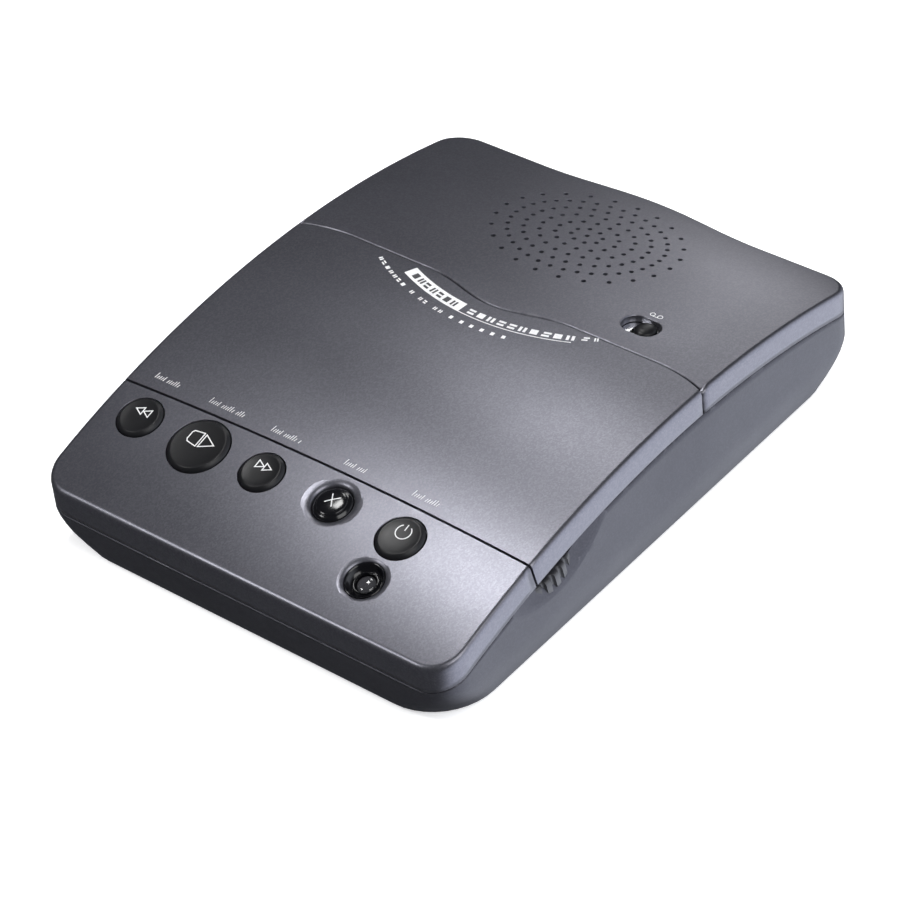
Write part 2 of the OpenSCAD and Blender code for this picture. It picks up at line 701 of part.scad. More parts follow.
module pinch_roller() color([0.05, 0.05, 0.05]) at_deck() difference() {
    rod(roller_r, [24.9, 30.7], roller_at, 64);
    rod(0.85, [24, 32], roller_at);
}
module solenoid_coil() color([0.5, 0.25, 0.1]) at_deck() difference() {
    box([solenoid_x - 5, solenoid_x + 5], [-38, -24], [9.6, 19.4]);
    translate([solenoid_x, -39, 14.5]) rotate([-90, 0, 0]) cylinder(r = 1.85, h = 12, $fn = 48);
}
module solenoid_plunger() color([0.7, 0.7, 0.72]) at_deck() {
    translate([solenoid_x, -48.4, 14.5]) rotate([-90, 0, 0]) cylinder(r = 1.75, h = 17, $fn = 48);
    box([solenoid_x - 1.6, solenoid_x + 1.6], [-48.4, -47.2], [13.2, head_plate_z[0] - eps]);
}

// --- main board ---
module main_board() color([0.12, 0.38, 0.2]) difference() {
    union() {
        box([-60, 60], [9, 90], [board_z, board_top]);
        box([38, 62], [-60, 9 + eps], [board_z, board_top]);
    }
    for (p = board_screw_places) rod(1.5, [board_z - 1, board_top + 1], p);
}
module capacitors() color([0.15, 0.2, 0.4]) {
    for (p = [[-46, 26, 4, 11], [-34, 24, 3.2, 9], [44, 52, 5, 13], [32, 22, 2.6, 7], [-20, 84, 3, 9], [24, 84, 3.4, 8]])
        rod(p[2], [board_top, board_top + p[3]], p);
}
module integrated_circuits() color([0.06, 0.06, 0.07]) {
    for (p = [[-12, 24, 34, 9], [20, 36, 9, 22], [-36, 44, 16, 7], [50, -10, 8, 18]])
        box([p[0] - p[2] / 2, p[0] + p[2] / 2], [p[1] - p[3] / 2, p[1] + p[3] / 2], [board_top, board_top + 3.2]);
}
module line_transformer() color([0.55, 0.45, 0.2]) {
    box([-54, -38], [54, 68], [board_top, board_top + 3]);
    box([-53, -39], [55, 67], [board_top + 3 - eps, board_top + 12]);
    box([-55.5, -36.5], [57.5, 64.5], [board_top + 5, board_top + 10]);
}
socket_face_y = rear_y - 0.3;
module line_socket() color([0.1, 0.1, 0.1]) difference() {
    box([line_x - line_w / 2, line_x + line_w / 2], [socket_face_y - 15, socket_face_y],
        [board_top, board_top + line_h]);
    box([line_x - 4.9, line_x + 4.9], [socket_face_y - 12, socket_face_y + 1], [board_top + 3.6, board_top + 10.4]);
    box([line_x - 2, line_x + 2], [socket_face_y - 12, socket_face_y + 1], [board_top + 1.6, board_top + 3.7]);
}
power_bore_r = 1.8;
power_bore_l = 12;
module power_socket() color([0.06, 0.06, 0.06]) difference() {
    union() {
        box([power_x - 5, power_x + 5], [socket_face_y - 16, socket_face_y - 3], [board_top, power_z + 4.6]);
        translate([power_x, socket_face_y - 4, power_z]) rotate([-90, 0, 0])
            cylinder(r = power_nose_r, h = 4, $fn = 64);
    }
    translate([power_x, socket_face_y - power_bore_l, power_z]) rotate([-90, 0, 0])
        cylinder(r = power_bore_r, h = power_bore_l + 1, $fn = 64);
}

// --- feet and screws ---
foot_places = [[-56, -76], [56, -76], [-54, 70], [54, 70]];
module rubber_feet() color([0.05, 0.05, 0.05]) for (p = foot_places) rod(6.5, [0, foot_h], p, 64);
module case_screws() color([0.7, 0.7, 0.72]) for (p = case_screw_places) difference() {
    union() {
        rod(1.15, [3, case_boss_z + 8], p);
        rod(2.8, [2.6, 4.75], p);
    }
    for (turn = [0, 90]) translate([p[0], p[1], 2.6]) rotate(turn) cube([3, 0.6, 1.6], center = true);
}
module cross_screw(r, length, head_r, head_h) {
    difference() {
        union() {
            rod(r, [-length, eps]);
            rod(head_r, [0, head_h]);
        }
        for (turn = [0, 90]) rotate(turn) translate([0, 0, head_h]) cube([head_r * 1.1, 0.5, 1.2], center = true);
    }
}
module inner_screws() color([0.7, 0.7, 0.72]) {
    for (p = board_screw_places) translate([p[0], p[1], board_top + 0.02]) cross_screw(1, 3.8, 2.4, 1.4);
    for (p = deck_screw_places) translate([p[0] + deck_x, p[1], deck_z + 0.02]) cross_screw(1, 6, 2, 1.2);
}

base_shell();
front_panel();
cassette_lid();
rear_cover();
hinge_arms();
hinge_pins();
hinge_brackets();
bay_tray();
rewind_key();
play_key();
forward_key();
erase_key();
power_key();
rewind_plunger();
play_plunger();
forward_plunger();
erase_plunger();
power_plunger();
tact_switches();
key_board();
indicator_bezel();
indicator_lamp();
slide_knob();
slide_switch();
switch_board();
volume_wheel();
volume_pot();
speaker_frame();
speaker_cone();
speaker_cap();
speaker_magnet();
deck_plate();
drive_motor();
motor_pulley();
drive_belt();
flywheel();
capstan();
capstan_bearing();
pinch_roller();
pinch_arm();
head_plate();
tape_head();
erase_head();
solenoid_coil();
solenoid_plunger();
supply_spindle();
takeup_spindle();
cassette_shell();
supply_reel();
takeup_reel();
main_board();
capacitors();
integrated_circuits();
line_transformer();
line_socket();
power_socket();
rubber_feet();
case_screws();
inner_screws();
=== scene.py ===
"""Looks for the microcassette answering machine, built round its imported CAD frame.

Lengths are in mm and new_object scales them to metres; the floor and the lights are in metres.
"""
import json
import math

import bmesh
import bpy
from mathutils import Matrix, Vector


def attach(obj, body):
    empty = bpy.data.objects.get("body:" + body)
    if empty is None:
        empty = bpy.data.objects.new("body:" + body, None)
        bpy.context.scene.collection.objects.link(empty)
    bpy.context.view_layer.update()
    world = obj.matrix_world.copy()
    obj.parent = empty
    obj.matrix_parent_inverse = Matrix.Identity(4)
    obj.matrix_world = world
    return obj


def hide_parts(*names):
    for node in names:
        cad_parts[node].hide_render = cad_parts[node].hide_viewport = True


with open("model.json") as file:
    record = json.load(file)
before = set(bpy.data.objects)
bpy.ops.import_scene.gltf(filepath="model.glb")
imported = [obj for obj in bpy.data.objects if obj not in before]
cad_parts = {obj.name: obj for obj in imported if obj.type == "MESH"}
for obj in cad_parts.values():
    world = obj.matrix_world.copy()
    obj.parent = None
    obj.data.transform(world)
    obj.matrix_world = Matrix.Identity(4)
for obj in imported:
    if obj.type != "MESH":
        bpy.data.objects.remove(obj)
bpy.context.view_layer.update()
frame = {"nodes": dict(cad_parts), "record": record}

MM = 0.001
NODES = frame["nodes"]

# --- camera -------------------------------------------------------------------
CAMERA_TARGET = Vector((4.58, -10.75, 9.46))
CAMERA_DISTANCE = 1059.4
CAMERA_AZIMUTH = math.radians(43.12)
CAMERA_ELEVATION = math.radians(39.32)
CAMERA_ROLL = math.radians(-6.55)
CAMERA_LENS = 146.5

# --- housing, as the CAD has it -----------------------------------------------
BODY_W = 150.0
BODY_D = 197.0
BULGE = 3.7
BULGE_HALF_W = 40.0
CORNER_R = 10.0
ARCH_R = 321.7
ARCH_Y = 8.7
CREST_Z = 41.8
ARCH_Z = CREST_Z - ARCH_R
STRIP_H = 7.9
PARTING_R = ARCH_R - STRIP_H
PARTING_GAP = 0.4
WALL = 2.2
LID_SKIN = 1.6
FOOT_H = 1.2
FRONT_Y = -BODY_D / 2
REAR_Y = BODY_D / 2 - BULGE
EDGE_R = 1.5
FRONT_SEAM_Y = -57.8
FRONT_SEAM_R = 1407.0
FRONT_SEAM_LEAN = math.radians(12.5)
FRONT_GAP = 0.8
REAR_SEAM_Y = 23.2
REAR_GAP = 0.8
SEAM_DIP = 4.6
SEAM_DIP_HALF_W = 26.0
SEAM_CURL = 4.0
SEAM_CURL_START = 56.0
SEAM_EDGE_R = 0.12
KEYS_Y = -67.0
CAP_INSET = 0.45
KEYS = {
    "rewind": (-60.6, -1.4, 7.5),
    "play": (-37.6, -1.8, 9.9),
    "forward": (-14.6, -0.8, 7.3),
    "erase": (10.6, 0.0, 6.5),
    "power": (36.1, -1.1, 7.7),
}
LAMP_AT = (35.1, -83.1)
SLOT_AT = (41.8, 34.7)
GRILLE_AT = (-1.0, 65.0)
GRILLE_HALF = (30.5, 24.7)
GRILLE_COUNTS = (1, 8, 14, 20, 28, 36, 24)
GRILLE_HOLE_R = 0.75


def arch_height(y, r=ARCH_R):
    return ARCH_Z + math.sqrt(r * r - (y - ARCH_Y) ** 2)


def arch_normal(y):
    return Vector((0, y - ARCH_Y, arch_height(y) - ARCH_Z)).normalized()


def on_arch(x, y):
    """The matrix of a place on the arched top, Z along its normal."""
    up = arch_normal(y)
    side = Vector((1, 0, 0))
    back = up.cross(side)
    place = Matrix((side, back, up)).transposed().to_4x4()
    place.translation = Vector((x, y, arch_height(y)))
    return place


# --- meshes -------------------------------------------------------------------
WELD = 0.004


def new_object(name, bm, scale=MM):
    mesh = bpy.data.meshes.new(name)
    bmesh.ops.recalc_face_normals(bm, faces=bm.faces)
    bm.transform(Matrix.Scale(scale, 4))
    bm.to_mesh(mesh)
    bm.free()
    obj = bpy.data.objects.new(name, mesh)
    bpy.context.scene.collection.objects.link(obj)
    return obj


def grid_faces(bm, rows, closed=False):
    """Quads between rows of vertices; closed joins each row's last vertex to its first."""
    for a, b in zip(rows, rows[1:]):
        n = len(a)
        for i in range(n if closed else n - 1):
            j = (i + 1) % n
            corners = []
            for v in (a[i], a[j], b[j], b[i]):
                if v not in corners:
                    corners.append(v)
            if len(corners) > 2:
                bm.faces.new(corners)


def circle_row(bm, r, z, place, steps):
    """A row of vertices round a circle at height z."""
    return [bm.verts.new(place @ Vector((
        r * math.cos(2 * math.pi * i / steps), r * math.sin(2 * math.pi * i / steps), z)))
        for i in range(steps)]


def lathe(bm, profile, place, steps=96):
    """A solid of revolution from (radius, height) points that start and end on the axis."""
    rows = []
    for r, z in profile:
        if r < 1e-6:
            rows.append([bm.verts.new(place @ Vector((0, 0, z)))] * steps)
        else:
            rows.append(circle_row(bm, r, z, place, steps))
    grid_faces(bm, rows, closed=True)


def ring(bm, profile, place, steps=96):
    """A closed ring from a loop of (radius, height) points off the axis."""
    rows = [circle_row(bm, r, z, place, steps) for r, z in profile]
    rows.append(rows[0])
    grid_faces(bm, rows, closed=True)


def block(bm, low, high, place=Matrix.Identity(4)):
    corners = [bm.verts.new(place @ Vector((x, y, z)))
               for z in (low[2], high[2]) for y in (low[1], high[1]) for x in (low[0], high[0])]
    for face in ((0, 2, 3, 1), (4, 5, 7, 6), (0, 1, 5, 4), (2, 6, 7, 3), (0, 4, 6, 2), (1, 3, 7, 5)):
        bm.faces.new([corners[i] for i in face])


def arc(centre, r, start, end, steps):
    """Points of an arc, angles in degrees."""
    return [(centre[0] + r * math.cos(math.radians(start + (end - start) * i / steps)),
             centre[1] + r * math.sin(math.radians(start + (end - start) * i / steps)))
            for i in range(steps + 1)]


def modifier(obj, kind, **values):
    m = obj.modifiers.new(kind.title(), kind)
    for key, value in values.items():
        setattr(m, key, value)


def settle(obj, sharp=30):
    """Applies the modifiers, then smooths all but the sharp edges."""
    bpy.context.view_layer.update()
    graph = bpy.context.evaluated_depsgraph_get()
    mesh = bpy.data.meshes.new_from_object(obj.evaluated_get(graph))
    old = obj.data
    obj.modifiers.clear()
    obj.data = mesh
    mesh.name = old.name
    bpy.data.meshes.remove(old)
    mesh.polygons.foreach_set("use_smooth", [True] * len(mesh.polygons))
    mesh.set_sharp_from_angle(angle=math.radians(sharp))
    return obj


def cut(obj, cutters):
    """Cuts closed cutters out of obj, one after the other."""
    for cutter in cutters:
        modifier(obj, "BOOLEAN", operation="DIFFERENCE", solver="MANIFOLD", object=cutter)
    settle(obj)
    bm = bmesh.new()
    bm.from_mesh(obj.data)
    bmesh.ops.remove_doubles(bm, verts=bm.verts, dist=WELD * MM)
    bmesh.ops.dissolve_degenerate(bm, edges=bm.edges, dist=WELD * MM)
    bm.to_mesh(obj.data)
    bm.free()
    for cutter in cutters:
        mesh = cutter.data
        bpy.data.objects.remove(cutter)
        bpy.data.meshes.remove(mesh)


ARCH_TOLERANCE = 0.06
SIDE_TOLERANCE = 0.02


def true_normals(obj):
    """Gives the arched top its exact normals, so that cuts leave no mark in its gloss."""
    mesh = obj.data
    normals = [Vector(corner.vector) for corner in mesh.corner_normals]
    for face in mesh.polygons:
        corners = [mesh.vertices[i].co / MM for i in face.vertices]
        radials = [Vector((0, co.y - ARCH_Y, co.z - ARCH_Z)) for co in corners]
        if max(abs(radial.length - ARCH_R) for radial in radials) > ARCH_TOLERANCE:
            continue
        if max(abs(co.x) for co in corners) < BODY_W / 2 - EDGE_R + SIDE_TOLERANCE:
            for li, radial in zip(face.loop_indices, radials):
                normals[li] = radial.normalized()
    mesh.normals_split_custom_set([tuple(n) for n in normals])


# --- plan curves --------------------------------------------------------------
def bulge_at(x):
    if abs(x) > BULGE_HALF_W:
        return 0.0
    return BULGE * (1 + math.cos(math.pi * x / BULGE_HALF_W)) / 2


def front_seam(x):
    return FRONT_SEAM_Y - FRONT_SEAM_R + math.sqrt(FRONT_SEAM_R ** 2 - x * x)


def rear_seam(x):
    y = REAR_SEAM_Y
    if abs(x) < SEAM_DIP_HALF_W:
        y -= SEAM_DIP * (1 + math.cos(math.pi * x / SEAM_DIP_HALF_W)) / 2
    if abs(x) > SEAM_CURL_START:
        y -= SEAM_CURL * ((abs(x) - SEAM_CURL_START) / (BODY_W / 2 - SEAM_CURL_START)) ** 2
    return y


# --- upper covers -------------------------------------------------------------
COLUMNS = 76
COLUMN_BUNCHING = 0.9
CORNER_STEPS = 10
ROW_PITCH = 3.0
EDGE_STEPS = 5
STRIP_STEPS = 4
BULGE_START_Y = 40.0
BEVEL_ANGLE = math.radians(50)


def spread(a, b, pitch=ROW_PITCH):
    n = max(2, round(abs(b - a) / pitch))
    return [a + (b - a) * i / n for i in range(n + 1)]


class Cover:
    """One upper cover: rows run side to side, each with its side place and its bend along x."""

    def __init__(self, y0, y1, bend0, bend1, lean0=0.0, lean1=0.0, front=False, rear=False):
        self.front = front
        self.rear = rear
        self.rows = []
        corner = CORNER_STEPS
        start = FRONT_Y + CORNER_R if front else y0
        end = REAR_Y - CORNER_R if rear else y1
        if front:
            for i in range(corner):
                self.rows.append(("front", 90.0 * i / corner, 0.0))
        for y in spread(start, end):
            self.rows.append(("side", y, (y - start) / (end - start)))
        if rear:
            for i in range(corner - 1, -1, -1):
                self.rows.append(("rear", 90.0 * i / corner, 1.0))
        self.bend0 = bend0
        self.bend1 = bend1
        self.lean0 = lean0
        self.lean1 = lean1

    def side(self, row, inset):
        """Half width and y of a row's ends."""
        kind, value, _ = row
        r = CORNER_R - inset
        if kind == "side":
            return BODY_W / 2 - inset, value
        turn = math.radians(value)
        half = BODY_W / 2 - CORNER_R + r * math.sin(turn)
        if kind == "front":
            return half, FRONT_Y + CORNER_R - r * math.cos(turn)
        return half, REAR_Y - CORNER_R + r * math.cos(turn)

    def place(self, row, u, inset):
        half, y = self.side(row, inset)
        x = u * half
        share = row[2]
        if not self.front:
            y += (1 - share) * (self.bend0(x) - self.bend0(BODY_W / 2))
        if not self.rear:
            y += share * (self.bend1(x) - self.bend1(BODY_W / 2))
        if self.rear:
            y += bulge_at(x) * max(0.0, (y - BULGE_START_Y) / (REAR_Y - BULGE_START_Y)) ** 1.5
        return x, y

    def lean(self, row):
        return self.lean0 * (1 - row[2]) + self.lean1 * row[2]

    def build(self, name, thickness):
        bm = bmesh.new()
        widest = math.sin(COLUMN_BUNCHING / 2 * math.pi)
        us = [-math.cos(math.pi * (0.5 + (i / COLUMNS - 0.5) * COLUMN_BUNCHING)) / widest
              for i in range(COLUMNS + 1)]
        grid = []
        for row in self.rows:
            line = []
            for u in us:
                x, y = self.place(row, u, EDGE_R)
                line.append(bm.verts.new((x, y, arch_height(y))))
            grid.append(line)
        grid_faces(bm, grid)
        paths = self.edge_paths(grid, us)
        for path in paths:
            self.skirt(bm, path)
        obj = new_object(name, bm)
        modifier(obj, "SOLIDIFY", thickness=thickness * MM, offset=-1, use_even_offset=True)
        modifier(obj, "BEVEL", width=SEAM_EDGE_R * MM, segments=2, limit_method="ANGLE",
                 angle_limit=BEVEL_ANGLE, use_clamp_overlap=True)
        return settle(obj)

    def edge_paths(self, grid, us):
        """Runs of (vertex, row, u) along the outer edges."""
        left = [(grid[i][0], self.rows[i], us[0]) for i in range(len(grid))]
        right = [(grid[i][-1], self.rows[i], us[-1]) for i in range(len(grid))]
        if self.front:
            across = [(grid[0][i], self.rows[0], us[i]) for i in range(len(us))]
            return [left[::-1] + across[1:-1] + right]
        if self.rear:
            across = [(grid[-1][i], self.rows[-1], us[i]) for i in range(len(us))]
            return [left + across[1:-1] + right[::-1]]
        return [left, right]

    def skirt(self, bm, path):
        rows = [[p[0] for p in path]]
        for step in range(1, EDGE_STEPS + 1):
            turn = math.pi / 2 * step / EDGE_STEPS
            line = []
            for _, row, u in path:
                x, y = self.place(row, u, EDGE_R * (1 - math.sin(turn)))
                line.append(bm.verts.new((x, y, arch_height(y) - EDGE_R * (1 - math.cos(turn)))))
            rows.append(line)
        for step in range(1, STRIP_STEPS + 1):
            share = step / STRIP_STEPS
            line = []
            for _, row, u in path:
                x, y = self.place(row, u, 0.0)
                top = arch_height(y) - EDGE_R
                y += self.lean(row) * share * (STRIP_H - EDGE_R)
                low = arch_height(y, PARTING_R)
                line.append(bm.verts.new((x, y, top + (low - top) * share)))
            rows.append(line)
        grid_faces(bm, rows)


def hole(profile, place):
    bm = bmesh.new()
    lathe(bm, profile, place)
    return new_object("cutter", bm)


def lip(r, round_r, depth):
    """Profile of a hole whose mouth is rounded."""
    arc_points = [(r + round_r * (1 - math.sin(a)), -round_r * (1 - math.cos(a)))
                  for a in [math.pi / 2 * i / 4 for i in range(5)]]
    return [(0, 2.0), (r + round_r, 2.0)] + arc_points + [(r, -depth), (0, -depth)]


def on_keys(x, y):
    return on_arch(0, KEYS_Y) @ Matrix.Translation((x, y, 0))


ERASE_DISH = [
    (0, 2.0), (10.2, 2.0), (10.2, 0.1), (9.3, -0.02), (8.4, -0.1), (7.7, -0.22), (7.1, -0.4),
    (6.65, -0.65), (6.3, -1.0), (6.15, -1.4), (6.15, -5.0), (0, -5.0)]
LAMP_DISH = [
    (0, 2.0), (8.6, 2.0), (8.6, 0.08), (7.8, -0.03), (7.1, -0.12), (6.5, -0.3), (6.1, -0.6),
    (5.9, -1.1), (5.9, -5.0), (0, -5.0)]


def front_panel():
    cover = Cover(FRONT_Y, front_seam(BODY_W / 2), front_seam, front_seam,
                  0.0, math.tan(FRONT_SEAM_LEAN), front=True)
    panel = cover.build("front_panel_shell", WALL)
    cutters = []
    for name, (x, y, r) in KEYS.items():
        if name == "erase":
            cutters.append(hole(ERASE_DISH, on_keys(x, y)))
        else:
            cutters.append(hole(lip(r - CAP_INSET + 0.25, 0.3, 5.0), on_keys(x, y)))
    cutters.append(hole(LAMP_DISH, on_arch(*LAMP_AT)))
    cut(panel, cutters)
    true_normals(panel)
    return panel


LEDGE_SHARE = 0.965
LEDGE_STEPS = 60


def front_ledge():
    """The ledge under the lid's front edge, and the wall below it that closes the front of the bay."""
    bm = bmesh.new()
    columns = [BODY_W / 2 * LEDGE_SHARE * (2 * i / LEDGE_STEPS - 1) for i in range(LEDGE_STEPS + 1)]
    profile = [(-5.0, 2.3), (2.4, 2.1), (2.4, 7.9), (1.2, 7.9), (1.2, 3.3), (-5.0, 3.5)]
    rows = []
    for dy, drop in profile:
        line = []
        for x in columns:
            y = front_seam(x) + dy
            line.append(bm.verts.new((x, y, arch_height(y, ARCH_R - drop))))
        rows.append(line)
    rows.append(rows[0])
    grid_faces(bm, rows)
    for end in (0, -1):
        bm.faces.new([row[end] for row in rows[:-1]])
    obj = new_object("front_panel_ledge", bm)
    modifier(obj, "BEVEL", width=0.2 * MM, segments=2, limit_method="ANGLE")
    return settle(obj)


def cassette_lid():
    cover = Cover(front_seam(BODY_W / 2) + FRONT_GAP, rear_seam(BODY_W / 2) - REAR_GAP,
                  front_seam, rear_seam, math.tan(FRONT_SEAM_LEAN), 0.0)
    lid = cover.build("cassette_lid_shell", LID_SKIN)
    true_normals(lid)
    return lid


def grille_holes():
    bm = bmesh.new()
    rings = len(GRILLE_COUNTS) - 1
    for k, count in enumerate(GRILLE_COUNTS):
        for i in range(count):
            turn = 2 * math.pi * (i + (k % 2) / 2) / count
            x = GRILLE_AT[0] + GRILLE_HALF[0] * k / rings * math.cos(turn)
            y = GRILLE_AT[1] + GRILLE_HALF[1] * k / rings * math.sin(turn)
            lathe(bm, lip(GRILLE_HOLE_R, 0.18, 4.5), on_arch(x, y), 16)
    return new_object("cutter", bm)


SLOT_HALF_W = 2.0
SLOT_R = 4.2
SLOT_END_STEPS = 20


def slot_loop(grow):
    right = arc((SLOT_HALF_W, 0), SLOT_R + grow, -90, 90, SLOT_END_STEPS)
    left = arc((-SLOT_HALF_W, 0), SLOT_R + grow, 90, 270, SLOT_END_STEPS)
    return right + left


def slot_cutter():
    bm = bmesh.new()
    place = on_arch(*SLOT_AT)
    rows = []
    for grow, z in [(0.45, 2.0), (0.45, 0.0), (0.2, -0.08), (0.05, -0.25), (0, -0.5), (0, -4.0)]:
        rows.append([bm.verts.new(place @ Vector((x, y, z))) for x, y in slot_loop(grow)])
    grid_faces(bm, rows, closed=True)
    bm.faces.new(rows[0])
    bm.faces.new(rows[-1])
    return new_object("cutter", bm)


def rear_cover():
    cover = Cover(rear_seam(BODY_W / 2), REAR_Y, rear_seam, rear_seam, rear=True)
    rear = cover.build("rear_cover_shell", WALL)
    cut(rear, [grille_holes(), slot_cutter()])
    true_normals(rear)
    return rear


# --- base ---------------------------------------------------------------------
BASE_CURVE_TOP = 14.2
BASE_CURVE_R = 31.6
BASE_CORNER_GROWTH = 11.0
BASE_EDGE_R = 1.6
BASE_EDGE_SHARE = 0.82
LOOP_SIDE = 50
LOOP_END = 48


def outline_loop(inset, r):
    """The plan outline as a loop of points, the same number at any inset and corner radius."""
    hw = BODY_W / 2 - inset
    y0 = FRONT_Y + inset
    y1 = REAR_Y - inset
    turns = [math.pi / 2 * i / CORNER_STEPS for i in range(CORNER_STEPS)]
    points = [(hw - r + r * math.sin(a), y0 + r - r * math.cos(a)) for a in turns]
    points += [(hw, y0 + r + (y1 - y0 - 2 * r) * i / LOOP_SIDE) for i in range(LOOP_SIDE)]
    points += [(hw - r + r * math.cos(a), y1 - r + r * math.sin(a)) for a in turns]
    for i in range(LOOP_END):
        x = (hw - r) * (1 - 2 * i / LOOP_END)
        points.append((x, y1 + bulge_at(x)))
    points += [(-hw + r - r * math.sin(a), y1 - r + r * math.cos(a)) for a in turns]
    points += [(-hw, y1 - r - (y1 - y0 - 2 * r) * i / LOOP_SIDE) for i in range(LOOP_SIDE)]
    points += [(-hw + r - r * math.cos(a), y0 + r - r * math.sin(a)) for a in turns]
    points += [((hw - r) * (2 * i / LOOP_END - 1), y0) for i in range(LOOP_END)]
    return points


def base_inset(z):
    return max(0.0, BASE_CURVE_TOP - z) ** 2 / (2 * BASE_CURVE_R)


def base_corner(z):
    share = max(0.0, BASE_CURVE_TOP - z) / (BASE_CURVE_TOP - FOOT_H)
    return CORNER_R + BASE_CORNER_GROWTH * share ** 1.3


WHEEL_Y = -48.5
SCOOP_R = 67.0
SCOOP_AT = (135.0, -51.8, 48.5)
SCOOP_HALF_W = 23.5
WHEEL_AT = (54.9, WHEEL_Y, 19.5)
WHEEL_R = 20.0
WHEEL_T = 5.5
WHEEL_SLOT_HALF = 12.5
WHEEL_SLOT_GAP = 0.6
LINE_X = -40.0
POWER_X = 44.0
POWER_Z = 12.8
BOARD_TOP = 7.6
VENT_PITCH = 7
FEET = [(-62, -86), (62, -86), (-66, 84), (66, 84), (-66, 44), (66, 44)]


def scoop_section(r, x):
    """Radius of the circle where the scoop's sphere passes through a plane at x."""
    return math.sqrt(max(0.0, r * r - (SCOOP_AT[0] - x) ** 2))


def scoop_cutter():
    """The part of the scoop's sphere that bites into the side, with a little roll at its rim."""
    bm = bmesh.new()
    centre = Matrix.Translation((0, SCOOP_AT[1], SCOOP_AT[2])) @ Matrix.Rotation(-math.pi / 2, 4, "Y")
    side = BODY_W / 2
    rim = scoop_section(SCOOP_R, side)
    profile = [(0, -6.0), (rim + 0.8, -6.0), (rim + 0.8, -0.05), (rim + 0.5, 0.02), (rim + 0.2, 0.12)]
    deepest = side - SCOOP_AT[0] + SCOOP_R
    for i in range(33):
        depth = 0.3 + (deepest - 0.3) * (i / 32) ** 1.2
        profile.append((scoop_section(SCOOP_R, side - depth), depth))
    lathe(bm, profile, centre @ Matrix.Translation((0, 0, -side)), 256)
    return new_object("cutter", bm)


def wheel_frame():
    """The volume wheel's frame: it lies parallel to the top above it."""
    lean = math.asin((ARCH_Y - WHEEL_Y) / ARCH_R)
    return Matrix.Translation(WHEEL_AT) @ Matrix.Rotation(lean, 4, "X")


def base_shell():
    bm = bmesh.new()
    rows = []
    floor_z = FOOT_H
    corner_low = base_corner(floor_z + BASE_EDGE_R)
    last = math.pi / 2 * BASE_EDGE_SHARE
    for i in range(7):
        a = math.pi / 2 * i / 6 * BASE_EDGE_SHARE
        inset = (base_inset(floor_z + BASE_EDGE_R) + BASE_EDGE_R * (1 - math.sin(a))
                 - BASE_EDGE_R * (1 - math.sin(last)))
        z = floor_z + BASE_EDGE_R * (1 - math.cos(a))
        loop = outline_loop(max(inset, base_inset(z)), corner_low)
        rows.append([bm.verts.new((x, y, z)) for x, y in loop])
    low = floor_z + BASE_EDGE_R * (1 - math.cos(last))
    for z in spread(low, BASE_CURVE_TOP, 1.4)[1:]:
        rows.append([bm.verts.new((x, y, z)) for x, y in outline_loop(base_inset(z), base_corner(z))])
    steps = 8
    for i in range(1, steps + 1):
        line = []
        for x, y in outline_loop(0.0, CORNER_R):
            rim = arch_height(y, PARTING_R - PARTING_GAP)
            line.append(bm.verts.new((x, y, BASE_CURVE_TOP + (rim - BASE_CURVE_TOP) * i / steps)))
        rows.append(line)
    grid_faces(bm, rows, closed=True)
    bm.faces.new(rows[0])
    base = new_object("base_shell_body", bm)
    modifier(base, "SOLIDIFY", thickness=WALL * MM, offset=-1, use_even_offset=True)
    modifier(base, "BEVEL", width=SEAM_EDGE_R * MM, segments=2, limit_method="ANGLE",
             angle_limit=BEVEL_ANGLE)
    settle(base)
    cutters = [scoop_cutter()]
    bm = bmesh.new()
    block(bm, (LINE_X - 6.9, REAR_Y - 6, BOARD_TOP - 0.3), (LINE_X + 6.9, REAR_Y + 6, BOARD_TOP + 11.9))
    for i in range(-4, 5):
        block(bm, (i * VENT_PITCH - 1, 30, -1), (i * VENT_PITCH + 1, 56, 5))
    cutters.append(new_object("cutter", bm))
    bm = bmesh.new()
    inlet = Matrix.Translation((POWER_X, REAR_Y + bulge_at(POWER_X), POWER_Z))
    lathe(bm, [(0, -8), (4.3, -8), (4.3, -0.5), (4.6, -0.1), (5.0, 0.35), (5.0, 8), (0, 8)],
          inlet @ Matrix.Rotation(-math.pi / 2, 4, "X"), 64)
    for x, y in FEET:
        lathe(bm, [(0, -1), (3.5, -1), (3.5, FOOT_H), (3.1, FOOT_H + 0.4), (3.1, 6.0), (0, 6.0)],
              Matrix.Translation((x, y, 0)), 48)
    cutters.append(new_object("cutter", bm))
    cut(base, cutters)
    return base


